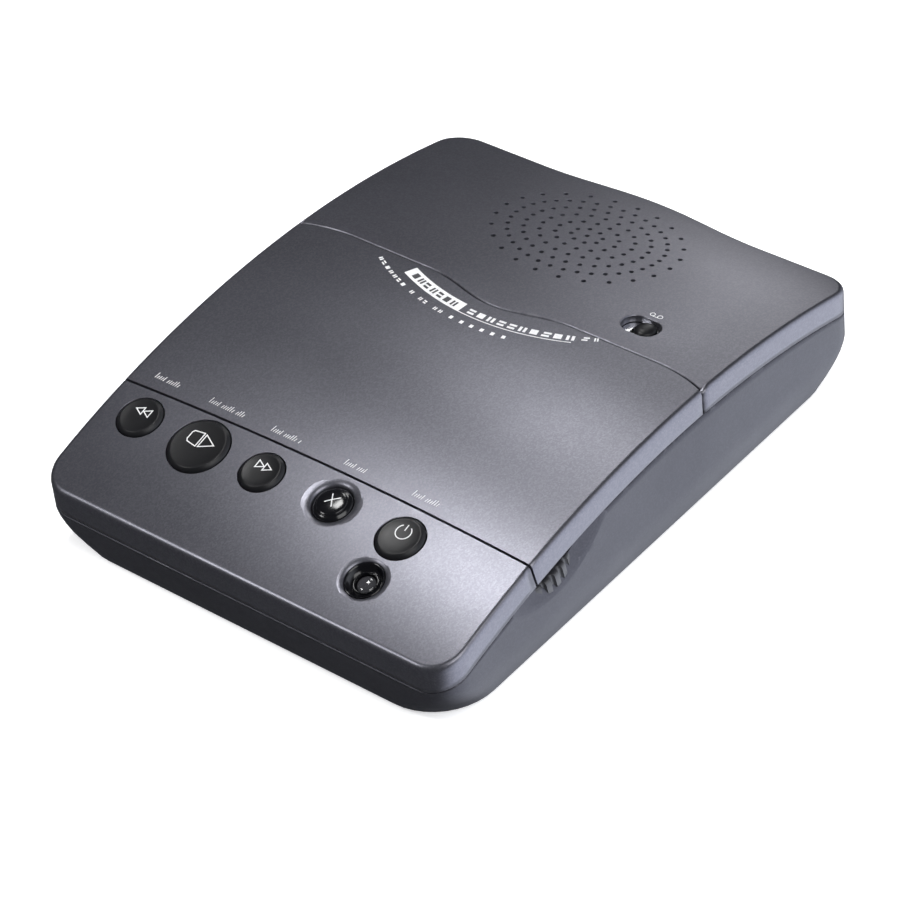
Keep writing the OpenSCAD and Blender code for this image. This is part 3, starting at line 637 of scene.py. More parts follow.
def scoop_liner():
    """The back of the finger scoop, with the window that the volume wheel shows through."""
    bm = bmesh.new()
    steps_y, steps_z = 90, 40
    top_drop = PARTING_GAP + 0.1
    faces = []
    for r in (SCOOP_R - 0.02, SCOOP_R + WALL):
        rows = []
        for j in range(steps_z + 1):
            line = []
            for i in range(steps_y + 1):
                y = SCOOP_AT[1] + SCOOP_HALF_W * (2 * i / steps_y - 1)
                y = max(y, FRONT_Y + CORNER_R + 8)
                high = arch_height(y, PARTING_R) - top_drop
                low = SCOOP_AT[2] - scoop_section(SCOOP_R, BODY_W / 2) - 1.5
                z = low + (high - low) * j / steps_z
                reach = r * r - (y - SCOOP_AT[1]) ** 2 - (z - SCOOP_AT[2]) ** 2
                x = SCOOP_AT[0] - math.sqrt(max(0.0, reach))
                x = min(x, BODY_W / 2 - (0.5 if r < SCOOP_R else 1.2))
                line.append(bm.verts.new((x, y, z)))
            rows.append(line)
        grid_faces(bm, rows)
        faces.append(rows)
    inner, outer = faces
    loops = [rows[0] + [row[-1] for row in rows[1:]]
             + rows[-1][-2::-1] + [row[0] for row in rows[-2:0:-1]] for rows in (inner, outer)]
    grid_faces(bm, loops, closed=True)
    liner = new_object("scoop_liner", bm)
    bm = bmesh.new()
    window = [(-WHEEL_SLOT_HALF, -WHEEL_SLOT_GAP), (WHEEL_SLOT_HALF, WHEEL_T + WHEEL_SLOT_GAP)]
    round_r = 1.6
    loop = []
    for cy, cz, start in ((window[1][0], window[0][1], -90), (window[1][0], window[1][1], 0),
                          (window[0][0], window[1][1], 90), (window[0][0], window[0][1], 180)):
        sy = 1 if cy > 0 else -1
        sz = 1 if cz > 0 else -1
        loop += arc((cy - sy * round_r, cz - sz * round_r), round_r, start, start + 90, 8)
    rows = [[bm.verts.new(wheel_frame() @ Vector((x, y, z))) for y, z in loop] for x in (2.0, 30.0)]
    grid_faces(bm, rows, closed=True)
    for row in rows:
        bm.faces.new(row)
    cut(liner, [new_object("cutter", bm)])
    return liner


# --- materials ----------------------------------------------------------------
class Material:
    """A small helper over a node tree in object coordinates."""

    def __init__(self, name):
        self.mat = bpy.data.materials.new(name)
        self.mat.use_nodes = True
        self.tree = self.mat.node_tree
        self.shader = self.tree.nodes["Principled BSDF"]
        self.coords = self.tree.nodes.new("ShaderNodeTexCoord")

    def set(self, **values):
        for key, value in values.items():
            self.shader.inputs[key.replace("_", " ")].default_value = value
        return self

    def link(self, a, b):
        self.tree.links.new(a, b)

    def noise(self, scale, detail=2.0, rough=0.5, stretch=None):
        node = self.tree.nodes.new("ShaderNodeTexNoise")
        node.inputs["Scale"].default_value = scale
        node.inputs["Detail"].default_value = detail
        node.inputs["Roughness"].default_value = rough
        source = self.coords.outputs["Object"]
        if stretch:
            mapping = self.tree.nodes.new("ShaderNodeMapping")
            mapping.inputs["Scale"].default_value = stretch
            self.link(source, mapping.inputs["Vector"])
            source = mapping.outputs["Vector"]
        self.link(source, node.inputs["Vector"])
        return node.outputs["Fac"]

    def voronoi(self, scale):
        node = self.tree.nodes.new("ShaderNodeTexVoronoi")
        node.inputs["Scale"].default_value = scale
        self.link(self.coords.outputs["Object"], node.inputs["Vector"])
        return node

    def ramp(self, value, stops):
        node = self.tree.nodes.new("ShaderNodeValToRGB")
        elements = node.color_ramp.elements
        while len(elements) < len(stops):
            elements.new(0.5)
        for element, (at, colour) in zip(elements, stops):
            element.position = at
            element.color = (*colour, 1)
        self.link(value, node.inputs["Fac"])
        return node.outputs["Color"]

    def range(self, value, low, high, from_low=0.3, from_high=0.7):
        node = self.tree.nodes.new("ShaderNodeMapRange")
        node.inputs["From Min"].default_value = from_low
        node.inputs["From Max"].default_value = from_high
        node.inputs["To Min"].default_value = low
        node.inputs["To Max"].default_value = high
        self.link(value, node.inputs["Value"])
        return node.outputs["Result"]

    def mix(self, factor, a, b):
        node = self.tree.nodes.new("ShaderNodeMix")
        node.data_type = "RGBA"
        self.link(factor, node.inputs["Factor"])
        for value, socket in ((a, node.inputs["A"]), (b, node.inputs["B"])):
            if isinstance(value, tuple):
                socket.default_value = (*value, 1)
            else:
                self.link(value, socket)
        return node.outputs["Result"]

    def bump(self, height, strength, distance, normal=None):
        node = self.tree.nodes.new("ShaderNodeBump")
        node.inputs["Strength"].default_value = strength
        node.inputs["Distance"].default_value = distance
        self.link(height, node.inputs["Height"])
        if normal is not None:
            self.link(normal, node.inputs["Normal"])
        return node.outputs["Normal"]

    def colour(self, socket):
        self.link(socket, self.shader.inputs["Base Color"])

    def roughness(self, socket):
        self.link(socket, self.shader.inputs["Roughness"])

    def normal(self, socket):
        self.link(socket, self.shader.inputs["Normal"])

    def edge_wear(self, scale):
        """Patchy mask on convex edges only."""
        geometry = self.tree.nodes.new("ShaderNodeNewGeometry")
        edge = self.range(geometry.outputs["Pointiness"], 0.0, 1.0, 0.56, 0.62)
        patches = self.range(self.noise(scale, 4.0, 0.6), 0.0, 1.0, 0.5, 0.62)
        product = self.tree.nodes.new("ShaderNodeMath")
        product.operation = "MULTIPLY"
        product.use_clamp = True
        self.link(edge, product.inputs[0])
        self.link(patches, product.inputs[1])
        return product.outputs[0]


def plastic(name, colour, rough, spread_by=0.05, grain=1400.0, grain_depth=0.012, **values):
    m = Material(name).set(**values)
    lighter = tuple(min(1.0, c * 1.25 + 0.004) for c in colour)
    darker = tuple(c * 0.82 for c in colour)
    cloud = m.noise(18.0, 3.0)
    m.colour(m.ramp(cloud, [(0.3, darker), (0.55, colour), (0.8, lighter)]))
    m.roughness(m.range(m.noise(45.0, 5.0, 0.65), rough - spread_by, rough + spread_by))
    m.normal(m.bump(m.noise(grain, 2.0), 0.5, grain_depth * MM))
    return m.mat


def metal(name, colour, rough, stretch=(1.0, 1.0, 1.0), scale=900.0, depth=0.01):
    m = Material(name).set(Metallic=1.0)
    stain = m.noise(70.0, 5.0, 0.6)
    m.colour(m.ramp(stain, [(0.25, tuple(c * 0.72 for c in colour)), (0.6, colour),
                            (0.85, tuple(min(1, c * 1.12) for c in colour))]))
    m.roughness(m.range(m.noise(130.0, 4.0, 0.6, stretch), rough - 0.07, rough + 0.1))
    m.normal(m.bump(m.noise(scale, 2.0, 0.5, stretch), 0.4, depth * MM))
    return m.mat


def circuit_board(name):
    """Green lacquer over copper tracks."""
    m = Material(name).set(Coat_Weight=0.6, Coat_Roughness=0.12, Roughness=0.45)
    brick = m.tree.nodes.new("ShaderNodeTexBrick")
    brick.inputs["Scale"].default_value = 260.0
    brick.inputs["Mortar Size"].default_value = 0.03
    brick.offset = 0.37
    m.link(m.coords.outputs["Object"], brick.inputs["Vector"])
    tracks = m.range(brick.outputs["Fac"], 0.0, 1.0, 0.0, 0.3)
    m.colour(m.mix(tracks, (0.012, 0.09, 0.035), (0.035, 0.19, 0.07)))
    m.normal(m.bump(tracks, 0.4, 0.03 * MM))
    return m.mat


def housing_material():
    """Satin anthracite with a fine metallic fleck, a little brighter along its edges."""
    m = Material("housing_satin").set(Metallic=0.85, Specular_IOR_Level=0.5)
    cloud = m.noise(11.0, 4.0)
    base = m.ramp(cloud, [(0.3, (0.098, 0.098, 0.114)), (0.55, (0.108, 0.108, 0.126)),
                          (0.8, (0.118, 0.118, 0.137))])
    flecks = m.voronoi(2300.0)
    shine = m.range(flecks.outputs["Color"], 0.0, 0.5, 0.3, 1.0)
    tint = m.mix(shine, base, (0.17, 0.168, 0.19))
    wear = m.edge_wear(220.0)
    m.colour(m.mix(wear, tint, (0.2, 0.2, 0.225)))
    smear = m.noise(26.0, 5.0, 0.7)
    m.roughness(m.range(smear, 0.33, 0.37))
    grain = m.bump(m.noise(1700.0, 2.0), 0.3, 0.01 * MM)
    m.normal(m.bump(m.noise(6.0, 2.0), 0.2, 0.1 * MM, grain))
    return m.mat


def base_material():
    """The base's darker, plainer satin."""
    m = Material("base_satin").set(Metallic=0.6, Specular_IOR_Level=0.35)
    cloud = m.noise(13.0, 4.0)
    base = m.ramp(cloud, [(0.3, (0.034, 0.034, 0.041)), (0.55, (0.039, 0.039, 0.047)),
                          (0.8, (0.045, 0.045, 0.054))])
    flecks = m.voronoi(2500.0)
    shine = m.range(flecks.outputs["Color"], 0.0, 0.4, 0.35, 1.0)
    tint = m.mix(shine, base, (0.07, 0.07, 0.082))
    wear = m.edge_wear(240.0)
    m.colour(m.mix(wear, tint, (0.12, 0.12, 0.135)))
    m.roughness(m.range(m.noise(24.0, 5.0, 0.7), 0.4, 0.48))
    grain = m.bump(m.noise(1600.0, 2.0), 0.35, 0.012 * MM)
    m.normal(m.bump(m.noise(7.0, 2.0), 0.2, 0.1 * MM, grain))
    return m.mat


def clear(name, colour, rough, transmission):
    m = Material(name).set(IOR=1.49, Transmission_Weight=transmission)
    m.colour(m.ramp(m.noise(60.0, 3.0), [(0.3, tuple(c * 0.9 for c in colour)), (0.7, colour)]))
    m.roughness(m.range(m.noise(200.0, 4.0, 0.6), rough, rough + 0.06))
    m.normal(m.bump(m.noise(300.0, 2.0), 0.2, 0.01 * MM))
    return m.mat


def print_ink(name, colour):
    m = Material(name)
    m.colour(m.ramp(m.noise(900.0, 4.0, 0.7), [(0.25, tuple(c * 0.72 for c in colour)), (0.6, colour)]))
    m.roughness(m.range(m.noise(300.0, 3.0), 0.45, 0.58))
    m.normal(m.bump(m.noise(1500.0, 2.0), 0.4, 0.01 * MM))
    return m.mat


MATERIALS = {
    "housing": housing_material(),
    "base_plastic": base_material(),
    "key_plastic": plastic("key_satin_black", (0.006, 0.006, 0.007), 0.38, 0.05, 1900.0, 0.008,
                           Specular_IOR_Level=0.22),
    "gloss_black": plastic("gloss_black", (0.003, 0.003, 0.004), 0.14, 0.04, 400.0, 0.003,
                           Specular_IOR_Level=0.3),
    "clear_lens": clear("lamp_lens", (0.1, 0.1, 0.11), 0.06, 0.6),
    "dark_plastic": plastic("dark_matt", (0.02, 0.02, 0.023), 0.5, 0.08, 1200.0, 0.02),
    "ivory_plastic": plastic("ivory_acetal", (0.72, 0.66, 0.5), 0.42),
    "white_plastic": plastic("white_acetal", (0.75, 0.75, 0.72), 0.38),
    "circuit_board": circuit_board("circuit_board"),
    "steel": metal("zinc_sheet", (0.58, 0.6, 0.63), 0.34, (1.0, 12.0, 1.0)),
    "bright_steel": metal("bright_steel", (0.78, 0.79, 0.8), 0.16),
    "brass": metal("turned_brass", (0.72, 0.53, 0.25), 0.26, (1.0, 1.0, 14.0)),
    "black_rubber": plastic("black_rubber", (0.02, 0.02, 0.021), 0.72, 0.08, 900.0, 0.03,
                            Specular_IOR_Level=0.35),
    "cone_paper": plastic("cone_paper", (0.03, 0.028, 0.026), 0.85, 0.08, 700.0, 0.08),
    "magnet_steel": metal("magnet_steel", (0.3, 0.31, 0.33), 0.45),
    "copper_coil": metal("copper_coil", (0.6, 0.24, 0.08), 0.35, (1.0, 30.0, 1.0), 600.0, 0.08),
    "tape_brown": plastic("tape_brown", (0.05, 0.028, 0.02), 0.22, 0.05, 2500.0, 0.02),
    "cassette_plastic": clear("cassette_smoke", (0.55, 0.57, 0.62), 0.12, 0.7),
    "capacitor_sleeve": plastic("capacitor_sleeve", (0.02, 0.035, 0.14), 0.25, 0.04),
    "chip_black": plastic("chip_black", (0.015, 0.015, 0.016), 0.55, 0.06, 1500.0, 0.03),
    "transformer": plastic("winding_tape", (0.55, 0.4, 0.1), 0.4, 0.05),
}
WHITE_INK = print_ink("white_ink", (0.8, 0.8, 0.8))
DARK_INK = print_ink("dark_ink", (0.04, 0.04, 0.045))


def dress(obj, material):
    obj.data.materials.clear()
    obj.data.materials.append(material)


def finish_piece(obj, body, slot, *replaced, material=None):
    dress(obj, material or MATERIALS[slot])
    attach(obj, body)
    if replaced:
        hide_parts(*replaced)
    return obj


# --- keys ---------------------------------------------------------------------
KEY_PROUD = 1.0
KEY_FOOT_Z = -4.1
KEY_SKIRT_Z = -3.0
STROKE_STEP = 0.5


def key_skirt(r):
    """The flange and skirt that every cap stands on, as the start of its profile."""
    return [(0, KEY_FOOT_Z), (r + 1, KEY_FOOT_Z), (r + 1, KEY_SKIRT_Z), (r, KEY_SKIRT_Z)]


def key_profile(r):
    """Bevelled disc with a shallow dish and a crisp inner edge to its bevel."""
    top = KEY_PROUD
    return key_skirt(r) + [
        (r, top - 1.3), (r - 0.05, top - 1.05), (r - 0.2, top - 0.82), (r - 0.45, top - 0.55),
        (r - 0.8, top - 0.22), (r - 0.98, top - 0.08), (r - 1.12, top - 0.02), (r - 1.3, top),
        (r - 1.55, top - 0.03), (r * 0.7, top - 0.16), (r * 0.4, top - 0.26), (r * 0.15, top - 0.3),
        (0, top - 0.3)]


def erase_profile(r):
    """Glossy button: a sloping collar round a low dome."""
    inner = r - 1.5
    dome = [(inner * math.sin(a), -0.14 + 0.75 * math.cos(a) ** 0.8)
            for a in [math.radians(84) * i / 14 for i in range(14, -1, -1)]]
    return key_skirt(r) + [
        (r, -1.5), (r - 0.06, -1.2), (r - 0.25, -0.95), (r - 0.6, -0.68), (r - 1.0, -0.42),
        (r - 1.25, -0.3), (r - 1.42, -0.28), (r - 1.48, -0.24)] + dome


def height_on(profile, r):
    """Height of a turned cap's top face at radius r."""
    for (r0, z0), (r1, z1) in zip(profile[-2::-1], profile[:0:-1]):
        if r1 <= r <= r0:
            return z1 + (z0 - z1) * (r - r1) / (r0 - r1)
    return profile[-1][1]


def stroke(bm, points, width, place, lift, height=0.06, closed=False, profile=None):
    """A printed line of even width, as a thin slab along points on a plane or on a turned cap."""
    n = len(points)
    pts = [Vector((p[0], p[1])) for p in points]
    left, right = [], []
    for i in range(n):
        before = pts[i] - pts[i - 1] if (i or closed) else pts[1] - pts[0]
        after = pts[(i + 1) % n] - pts[i] if (i < n - 1 or closed) else pts[-1] - pts[-2]
        a, b = before.normalized(), after.normalized()
        na, nb = Vector((-a.y, a.x)), Vector((-b.y, b.x))
        mitre = (na + nb) / max(0.35, 1 + na.dot(nb))
        left.append(pts[i] + mitre * width / 2)
        right.append(pts[i] - mitre * width / 2)
    lines = []
    for side, z in ((left, lift), (left, lift + height), (right, lift + height), (right, lift)):
        line = []
        for p in side:
            base = height_on(profile, p.length) if profile else 0
            line.append(bm.verts.new(place @ Vector((p.x, p.y, z + base))))
        lines.append(line)
    lines.append(lines[0])
    grid_faces(bm, lines, closed=closed)
    if not closed:
        bm.faces.new([line[0] for line in lines[:-1]])
        bm.faces.new([line[-1] for line in lines[:-1]])


def triangle(x, y, wide, tall, point=1):
    reach = point * wide / 2
    return [(x - reach, y - tall / 2), (x - reach, y + tall / 2), (x + reach, y)]


def divided(points, closed):
    """The same line with points no further apart than STROKE_STEP."""
    out = []
    ends = points[1:] + (points[:1] if closed else [])
    for (x0, y0), (x1, y1) in zip(points, ends):
        count = max(1, math.ceil(math.hypot(x1 - x0, y1 - y0) / STROKE_STEP))
        out += [(x0 + (x1 - x0) * i / count, y0 + (y1 - y0) * i / count) for i in range(count)]
    return out if closed else out + [points[-1]]


def symbol_object(name, shapes, place, profile, width):
    bm = bmesh.new()
    for points, closed in shapes:
        stroke(bm, divided(points, closed), width, place, 0.0, closed=closed, profile=profile)
    return new_object(name, bm)


def key_symbols():
    """Generic transport symbols, as outlines above each cap's middle."""
    y = 1.7
    stop = [(-4.4, y - 1.3), (-3.9, y - 2.0), (-0.5, y - 2.5),
            (-0.5, y + 2.5), (-3.9, y + 2.0), (-4.4, y + 1.3)]
    start = [(0.3, y - 2.3), (0.3, y + 2.3), (4.6, y)]
    power = arc((0, y + 0.1), 2.35, 125, 415, 36)
    return {
        "rewind": [(triangle(x, y + 0.2, 2.5, 2.6, -1), True) for x in (-1.35, 1.35)],
        "play": [(stop, True), (start, True)],
        "forward": [(triangle(x, y - 0.1, 2.5, 2.6), True) for x in (-1.35, 1.35)],
        "erase": [([(-1.7, -1.0), (1.9, 2.2)], False), ([(-1.2, 2.4), (1.2, -1.6)], False)],
        "power": [(power, False), ([(0, y + 0.6), (0, y + 2.7)], False)],
    }


def build_keys():
    symbols = key_symbols()
    for name, (x, y, r) in KEYS.items():
        bm = bmesh.new()
        place = on_keys(x, y)
        profile = erase_profile(r - CAP_INSET) if name == "erase" else key_profile(r - CAP_INSET)
        lathe(bm, profile, place, 128)
        lathe(bm, [(0, -5.2), (2.4, -5.2), (2.4, -4.0), (0, -4.0)], place, 32)
        cap = settle(new_object(f"{name}_key_cap", bm), 35)
        slot = "gloss_black" if name == "erase" else "key_plastic"
        finish_piece(cap, f"{name}_button", slot, f"{name}_key")
        mark = symbol_object(f"{name}_symbol", symbols[name], place, profile, 0.3)
        finish_piece(mark, f"{name}_button", slot, material=WHITE_INK)


# --- printed marks on the arch ------------------------------------------------
INK_LIFT = 0.02
INK_T = 0.05
LABEL_CENTRE = (0.0, 88.5)
TAPE_ICON_AT = (42.4, 41.3)
TAPE_ICON_REEL = (1.3, 0.75)
TAPE_ICON_LINE = 0.22
CAPTION_Y = -54.9
CAPTION_PITCH = 0.78


def arch_patch(bm, points_low, points_high):
    """A thin printed slab over the arch between two runs of plan points."""
    rows = []
    for run, up in ((points_low, INK_LIFT), (points_low, INK_LIFT + INK_T),
                    (points_high, INK_LIFT + INK_T), (points_high, INK_LIFT)):
        line = []
        for x, y in run:
            line.append(bm.verts.new(Vector((x, y, arch_height(y))) + arch_normal(y) * up))
        rows.append(line)
    rows.append(rows[0])
    grid_faces(bm, rows)
    bm.faces.new([row[0] for row in rows[:-1]])
    bm.faces.new([row[-1] for row in rows[:-1]])


def label_arc(bm, r_low, r_high, x0, x1, steps):
    """A patch between two radii about the label's centre, from x0 to x1."""
    cx, cy = LABEL_CENTRE
    a0, a1 = math.asin((x0 - cx) / r_low), math.asin((x1 - cx) / r_low)
    angles = [a0 + (a1 - a0) * i / steps for i in range(steps + 1)]
    arch_patch(bm, [(cx + r_low * math.sin(a), cy - r_low * math.cos(a)) for a in angles],
               [(cx + r_high * math.sin(a), cy - r_high * math.cos(a)) for a in angles])


def label_glyph(bm, r_low, r_high, x, width, kind):
    """One abstract mark of the label: a solid block, two upright bars, or two level bars."""
    bar = width * 0.36
    middle = (r_low + r_high) / 2
    slit = (r_low - r_high) * 0.14
    if kind == 0:
        label_arc(bm, r_low, r_high, x, x + bar, 2)
        label_arc(bm, r_low, r_high, x + width - bar, x + width, 2)
    elif kind == 1:
        label_arc(bm, r_low, middle + slit, x, x + width, 2)
        label_arc(bm, middle - slit, r_high, x, x + width, 2)
    else:
        label_arc(bm, r_low, r_high, x, x + width, 2)


def label_marks():
    """White field, underline and abstract marks along two arcs, as white and dark meshes."""
    white = bmesh.new()
    label_arc(white, 78.2, 74.0, -31.3, -6.2, 24)
    label_arc(white, 78.2, 77.92, -6.2, 30.5, 28)
    for k in range(10):
        label_glyph(white, 77.1, 75.0, -3.6 + 3.55 * k, 2.3, (1, 2, 0, 1, 1, 0, 2, 1, 2, 0)[k])
    for k in range(2):
        label_glyph(white, 76.6, 75.0, 32.3 + 3.3 * k, 1.6 - 0.5 * k, 1 - k)
    for start, count, pitch, width in ((-42.5, 9, 2.3, 1.25), (-19.8, 7, 2.2, 1.1),
                                       (-2.6, 5, 3.7, 1.15)):
        for k in range(count):
            if (start, k) in ((-42.5, 7), (-19.8, 2), (-19.8, 5)):
                continue
            kind = (0, 1, 2, 0)[k % 4] if count > 5 else 2
            label_glyph(white, 82.0, 80.75, start + pitch * k, width, kind)
    dark = bmesh.new()
    for k in range(7):
        label_glyph(dark, 77.3, 75.1, -28.4 + 3.0 * k, 1.9, (2, 0, 1, 0, 1, 2, 0)[k])
    return white, dark


def caption_marks():
    """A row of fine upright ticks above each key, in place of its caption."""
    bm = bmesh.new()
    for x0, x1 in ((-66.7, -57.3), (-45.6, -32.5), (-22.0, -11.4), (5.0, 13.0), (29.6, 39.1)):
        count = round((x1 - x0) / CAPTION_PITCH)
        for k in range(count):
            if k % 7 == 5:
                continue
            x = x0 + CAPTION_PITCH * k
            top = CAPTION_Y + ((1.9, 1.15, 1.3, 1.15, 1.7)[k % 5] if k else 2.1)
            arch_patch(bm, [(x, CAPTION_Y), (x + 0.2, CAPTION_Y)], [(x + 0.34, top), (x + 0.54, top)])
    return bm


def tape_icon():
    """A small generic tape symbol above the slide switch."""
    bm = bmesh.new()
    place = on_arch(*TAPE_ICON_AT)
    apart, r = TAPE_ICON_REEL
    for sx in (-1, 1):
        reel = arc((sx * apart, 0), r, 0, 360, 24)[:-1]
        stroke(bm, reel, TAPE_ICON_LINE, place, INK_LIFT, INK_T, closed=True)
    stroke(bm, [(-apart, -r), (apart, -r)], TAPE_ICON_LINE, place, INK_LIFT, INK_T)
    return bm


def build_marks():
    white, dark = label_marks()
    finish_piece(new_object("label_marks", white), "lid", "housing", material=WHITE_INK)
    for v in dark.verts:
        v.co += arch_normal(v.co.y) * 0.06
    finish_piece(new_object("label_dashes", dark), "lid", "housing", material=DARK_INK)
    finish_piece(new_object("caption_bars", caption_marks()), "lid", "housing", material=WHITE_INK)
    finish_piece(new_object("tape_icon", tape_icon()), "housing", "housing", material=WHITE_INK)


# --- indicator, slide knob, volume wheel --------------------------------------
def build_indicator():
    """A deep black cup with a ringed clear lamp at its foot."""
    place = on_arch(*LAMP_AT)
    bm = bmesh.new()
    ring(bm, [(5.86, -0.62), (5.72, -0.5), (5.5, -0.58), (5.2, -0.95), (4.75, -1.6), (4.25, -2.1),
              (3.95, -2.25), (3.75, -2.2), (3.68, -2.0), (3.6, -1.88), (3.45, -1.84), (3.3, -1.9),
              (3.2, -2.1), (3.1, -2.6), (2.9, -3.4), (2.9, -6.0), (4.6, -6.0), (4.6, -2.9),
              (5.86, -2.9)], place)
    cup = settle(new_object("indicator_cup", bm), 40)
    finish_piece(cup, "housing", "gloss_black", "indicator_bezel")
    bm = bmesh.new()
    dome = [(2.86 * math.cos(a), -3.1 + 1.15 * math.sin(a))
            for a in [math.pi / 2 * i / 12 for i in range(13)]]
    lathe(bm, [(0, -8.9), (2.5, -8.9), (2.5, -4.2), (2.86, -3.9)] + dome, place, 64)
    lathe(bm, [(0, -4.1), (1.1, -4.1), (1.0, -3.5), (0.6, -3.3), (0, -3.25)], place, 32)
    lens = settle(new_object("indicator_lens", bm), 40)
    finish_piece(lens, "housing", "clear_lens", "indicator_lamp")


KNOB_OFFSET = 1.6


def build_knob():
    """The announcement slide: a low domed knob and its stem."""
    place = on_arch(*SLOT_AT) @ Matrix.Translation((KNOB_OFFSET, 0, 0))
    bm = bmesh.new()
    dome = [(3.35 * math.sin(a), -1.35 + 1.5 * math.cos(a) ** 0.7)
            for a in [math.radians(80) * i / 12 for i in range(12, -1, -1)]]
    lathe(bm, [(0, -2.3), (3.4, -2.3), (3.4, -1.1)] + dome, place, 96)
    knob = settle(new_object("slide_knob_cap", bm), 40)
    finish_piece(knob, "slide_button", "key_plastic", "slide_knob")
    stem = bmesh.new()
    block(stem, (-1.2, -1.2, -5), (1.2, 1.2, -2.2), place)
    stem = new_object("slide_knob_stem", stem)
    modifier(stem, "BEVEL", width=0.15 * MM, segments=2)
    finish_piece(settle(stem), "slide_button", "key_plastic")


def build_wheel():
    """Volume wheel: a rim of flat teeth between rounded grooves, with softened edges."""
    bm = bmesh.new()
    teeth = 36
    samples = 12
    place = wheel_frame()

    def radius(i, inset):
        phase = (i % samples) / samples
        groove = max(0.0, math.cos((phase - 0.5) * math.pi / 0.5)) if abs(phase - 0.5) < 0.25 else 0.0
        return WHEEL_R - inset - 0.95 * math.sqrt(groove) * (1 if inset < 2 else 0)

    rows = []
    for inset, z in [(3.0, 0.0), (1.3, 0.0), (0.6, 0.12), (0.2, 0.4), (0.0, 0.9), (0.0, WHEEL_T - 0.9),
                     (0.2, WHEEL_T - 0.4), (0.6, WHEEL_T - 0.12), (1.3, WHEEL_T), (3.0, WHEEL_T)]:
        rows.append([bm.verts.new(place @ Vector((
            radius(i, inset) * math.cos(2 * math.pi * i / (teeth * samples)),
            radius(i, inset) * math.sin(2 * math.pi * i / (teeth * samples)), z)))
            for i in range(teeth * samples)])
    grid_faces(bm, rows, closed=True)
    bm.faces.new(rows[0])
    bm.faces.new(rows[-1])
    lathe(bm, [(0, -8.8), (2.5, -8.8), (2.5, 0.1), (0, 0.1)], place, 48)
    wheel = settle(new_object("volume_wheel_disc", bm), 35)
    finish_piece(wheel, "volume_thumbwheel", "dark_plastic", "volume_wheel")


# --- stage --------------------------------------------------------------------
FLOOR_Z = -0.0002
GLOW_TOWARDS = (0.85, 0.45, -0.3)
# name, place, target, size of its square, watts
LIGHTS = [
    ("front_top", (-0.127, 0.0, 0.379), (0.08, -0.075, 0.03), 0.08, 0.59),
    ("middle_top", (-0.134, 0.181, 0.338), (0.088, -0.015, 0.041), 0.08, 0.23),
    ("bulge_top", (-0.15, 0.345, 0.27), (0.088, 0.035, 0.04), 0.08, 0.1),
    ("rear_top", (-0.15, 0.433, 0.178), (0.088, 0.08, 0.034), 0.08, 0.1),
    ("front_edge", (-0.265, -0.35, 0.37), (0.0, -0.098, 0.03), 0.1, 0.85),
    ("fill", (1.5, -0.7, 2.1), (0.0, 0.0, 0.0), 1.6, 40.0),
]


def build_camera():
    back = Vector((math.sin(CAMERA_AZIMUTH) * math.cos(CAMERA_ELEVATION),
                   -math.cos(CAMERA_AZIMUTH) * math.cos(CAMERA_ELEVATION), math.sin(CAMERA_ELEVATION)))
    right = Vector((math.cos(CAMERA_AZIMUTH), math.sin(CAMERA_AZIMUTH), 0))
    turn = Matrix.Rotation(CAMERA_ROLL, 3, back)
    right = turn @ right
    up = back.cross(right)
    data = bpy.data.cameras.new("camera")
    data.lens = CAMERA_LENS
    data.clip_start = 0.01
    camera = bpy.data.objects.new("camera", data)
    camera.matrix_world = Matrix((right, up, back)).transposed().to_4x4()
    camera.location = (CAMERA_TARGET + back * CAMERA_DISTANCE) * MM
    bpy.context.scene.collection.objects.link(camera)
    bpy.context.scene.camera = camera


def area_light(name, at, target, size, power):
    data = bpy.data.lights.new(name, "AREA")
    data.shape = "RECTANGLE"
    data.size = size
    data.size_y = size
    data.energy = power
    light = bpy.data.objects.new(name, data)
    light.location = at
    light.rotation_euler = (Vector(target) - Vector(at)).to_track_quat("-Z", "Y").to_euler()
    bpy.context.scene.collection.objects.link(light)


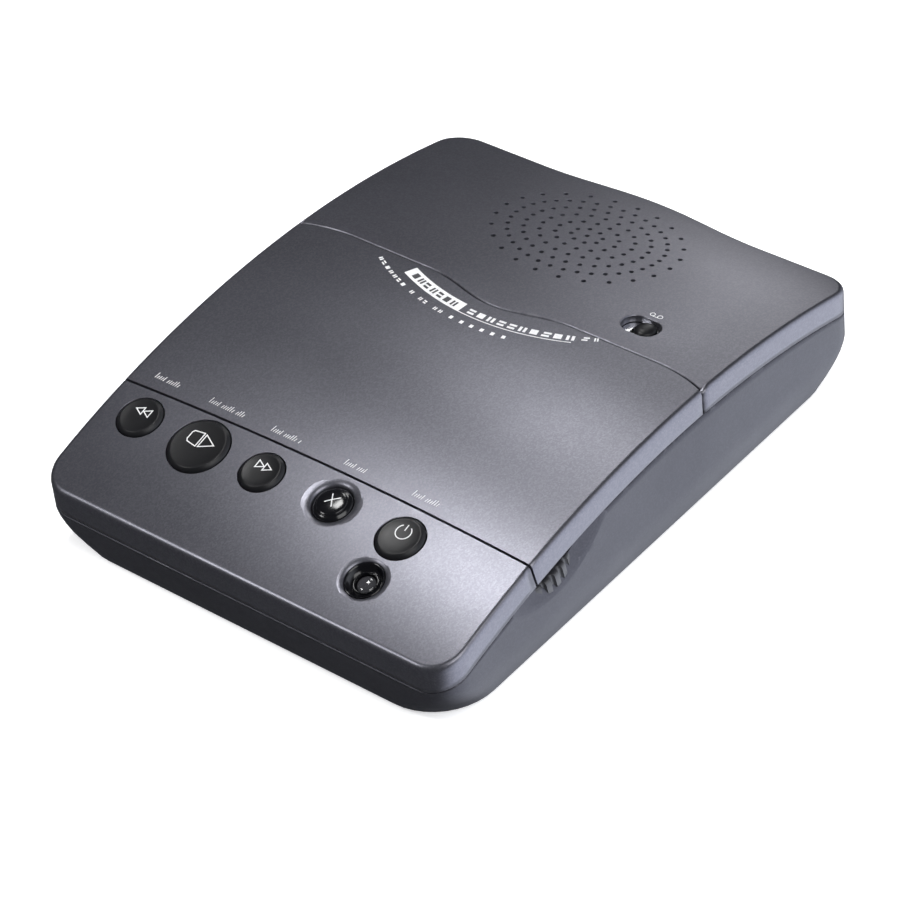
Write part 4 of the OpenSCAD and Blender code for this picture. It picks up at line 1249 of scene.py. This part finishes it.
def build_stage():
    bm = bmesh.new()
    lathe(bm, [(0, 0), (1.5, 0), (4.0, 0)], Matrix.Identity(4), 64)
    floor = new_object("floor", bm, 1.0)
    floor.location.z = FLOOR_Z
    m = Material("floor_paper").set(Roughness=0.8, Emission_Strength=0.5)
    m.colour(m.ramp(m.noise(3.0), [(0.3, (0.9, 0.9, 0.9)), (0.7, (0.93, 0.93, 0.93))]))
    dress(floor, m.mat)
    floor.visible_glossy = False
    build_world()
    bpy.context.scene.view_settings.view_transform = "Standard"
    for light in LIGHTS:
        area_light(*light)


def build_world():
    """A dark studio with a broad soft glow on the right."""
    world = bpy.data.worlds.new("world")
    world.use_nodes = True
    tree = world.node_tree
    background = tree.nodes["Background"]
    coords = tree.nodes.new("ShaderNodeTexCoord")
    dot = tree.nodes.new("ShaderNodeVectorMath")
    dot.operation = "DOT_PRODUCT"
    dot.inputs[1].default_value = Vector(GLOW_TOWARDS).normalized()
    tree.links.new(coords.outputs["Generated"], dot.inputs[0])
    glow = tree.nodes.new("ShaderNodeMapRange")
    glow.interpolation_type = "SMOOTHSTEP"
    glow.inputs["From Min"].default_value = 0.25
    glow.inputs["From Max"].default_value = 0.95
    glow.inputs["To Min"].default_value = 0.1
    glow.inputs["To Max"].default_value = 3.2
    tree.links.new(dot.outputs["Value"], glow.inputs["Value"])
    tree.links.new(glow.outputs["Result"], background.inputs["Strength"])
    background.inputs["Color"].default_value = (0.86, 0.9, 1.0, 1)
    bpy.context.scene.world = world


# --- the CAD pieces that stay -------------------------------------------------
def dress_cad_nodes():
    slots = {row["node"]: row["material_slot"] for row in frame["record"]["subparts"]}
    for node, obj in NODES.items():
        dress(obj, MATERIALS[slots[node]])


def main():
    build_camera()
    build_stage()
    dress_cad_nodes()
    finish_piece(front_panel(), "housing", "housing", "front_panel")
    finish_piece(front_ledge(), "housing", "housing")
    finish_piece(cassette_lid(), "lid", "housing", "cassette_lid")
    finish_piece(rear_cover(), "housing", "housing", "rear_cover")
    finish_piece(base_shell(), "housing", "base_plastic", "base_shell")
    finish_piece(scoop_liner(), "housing", "base_plastic")
    build_keys()
    build_marks()
    build_indicator()
    build_knob()
    build_wheel()


main()
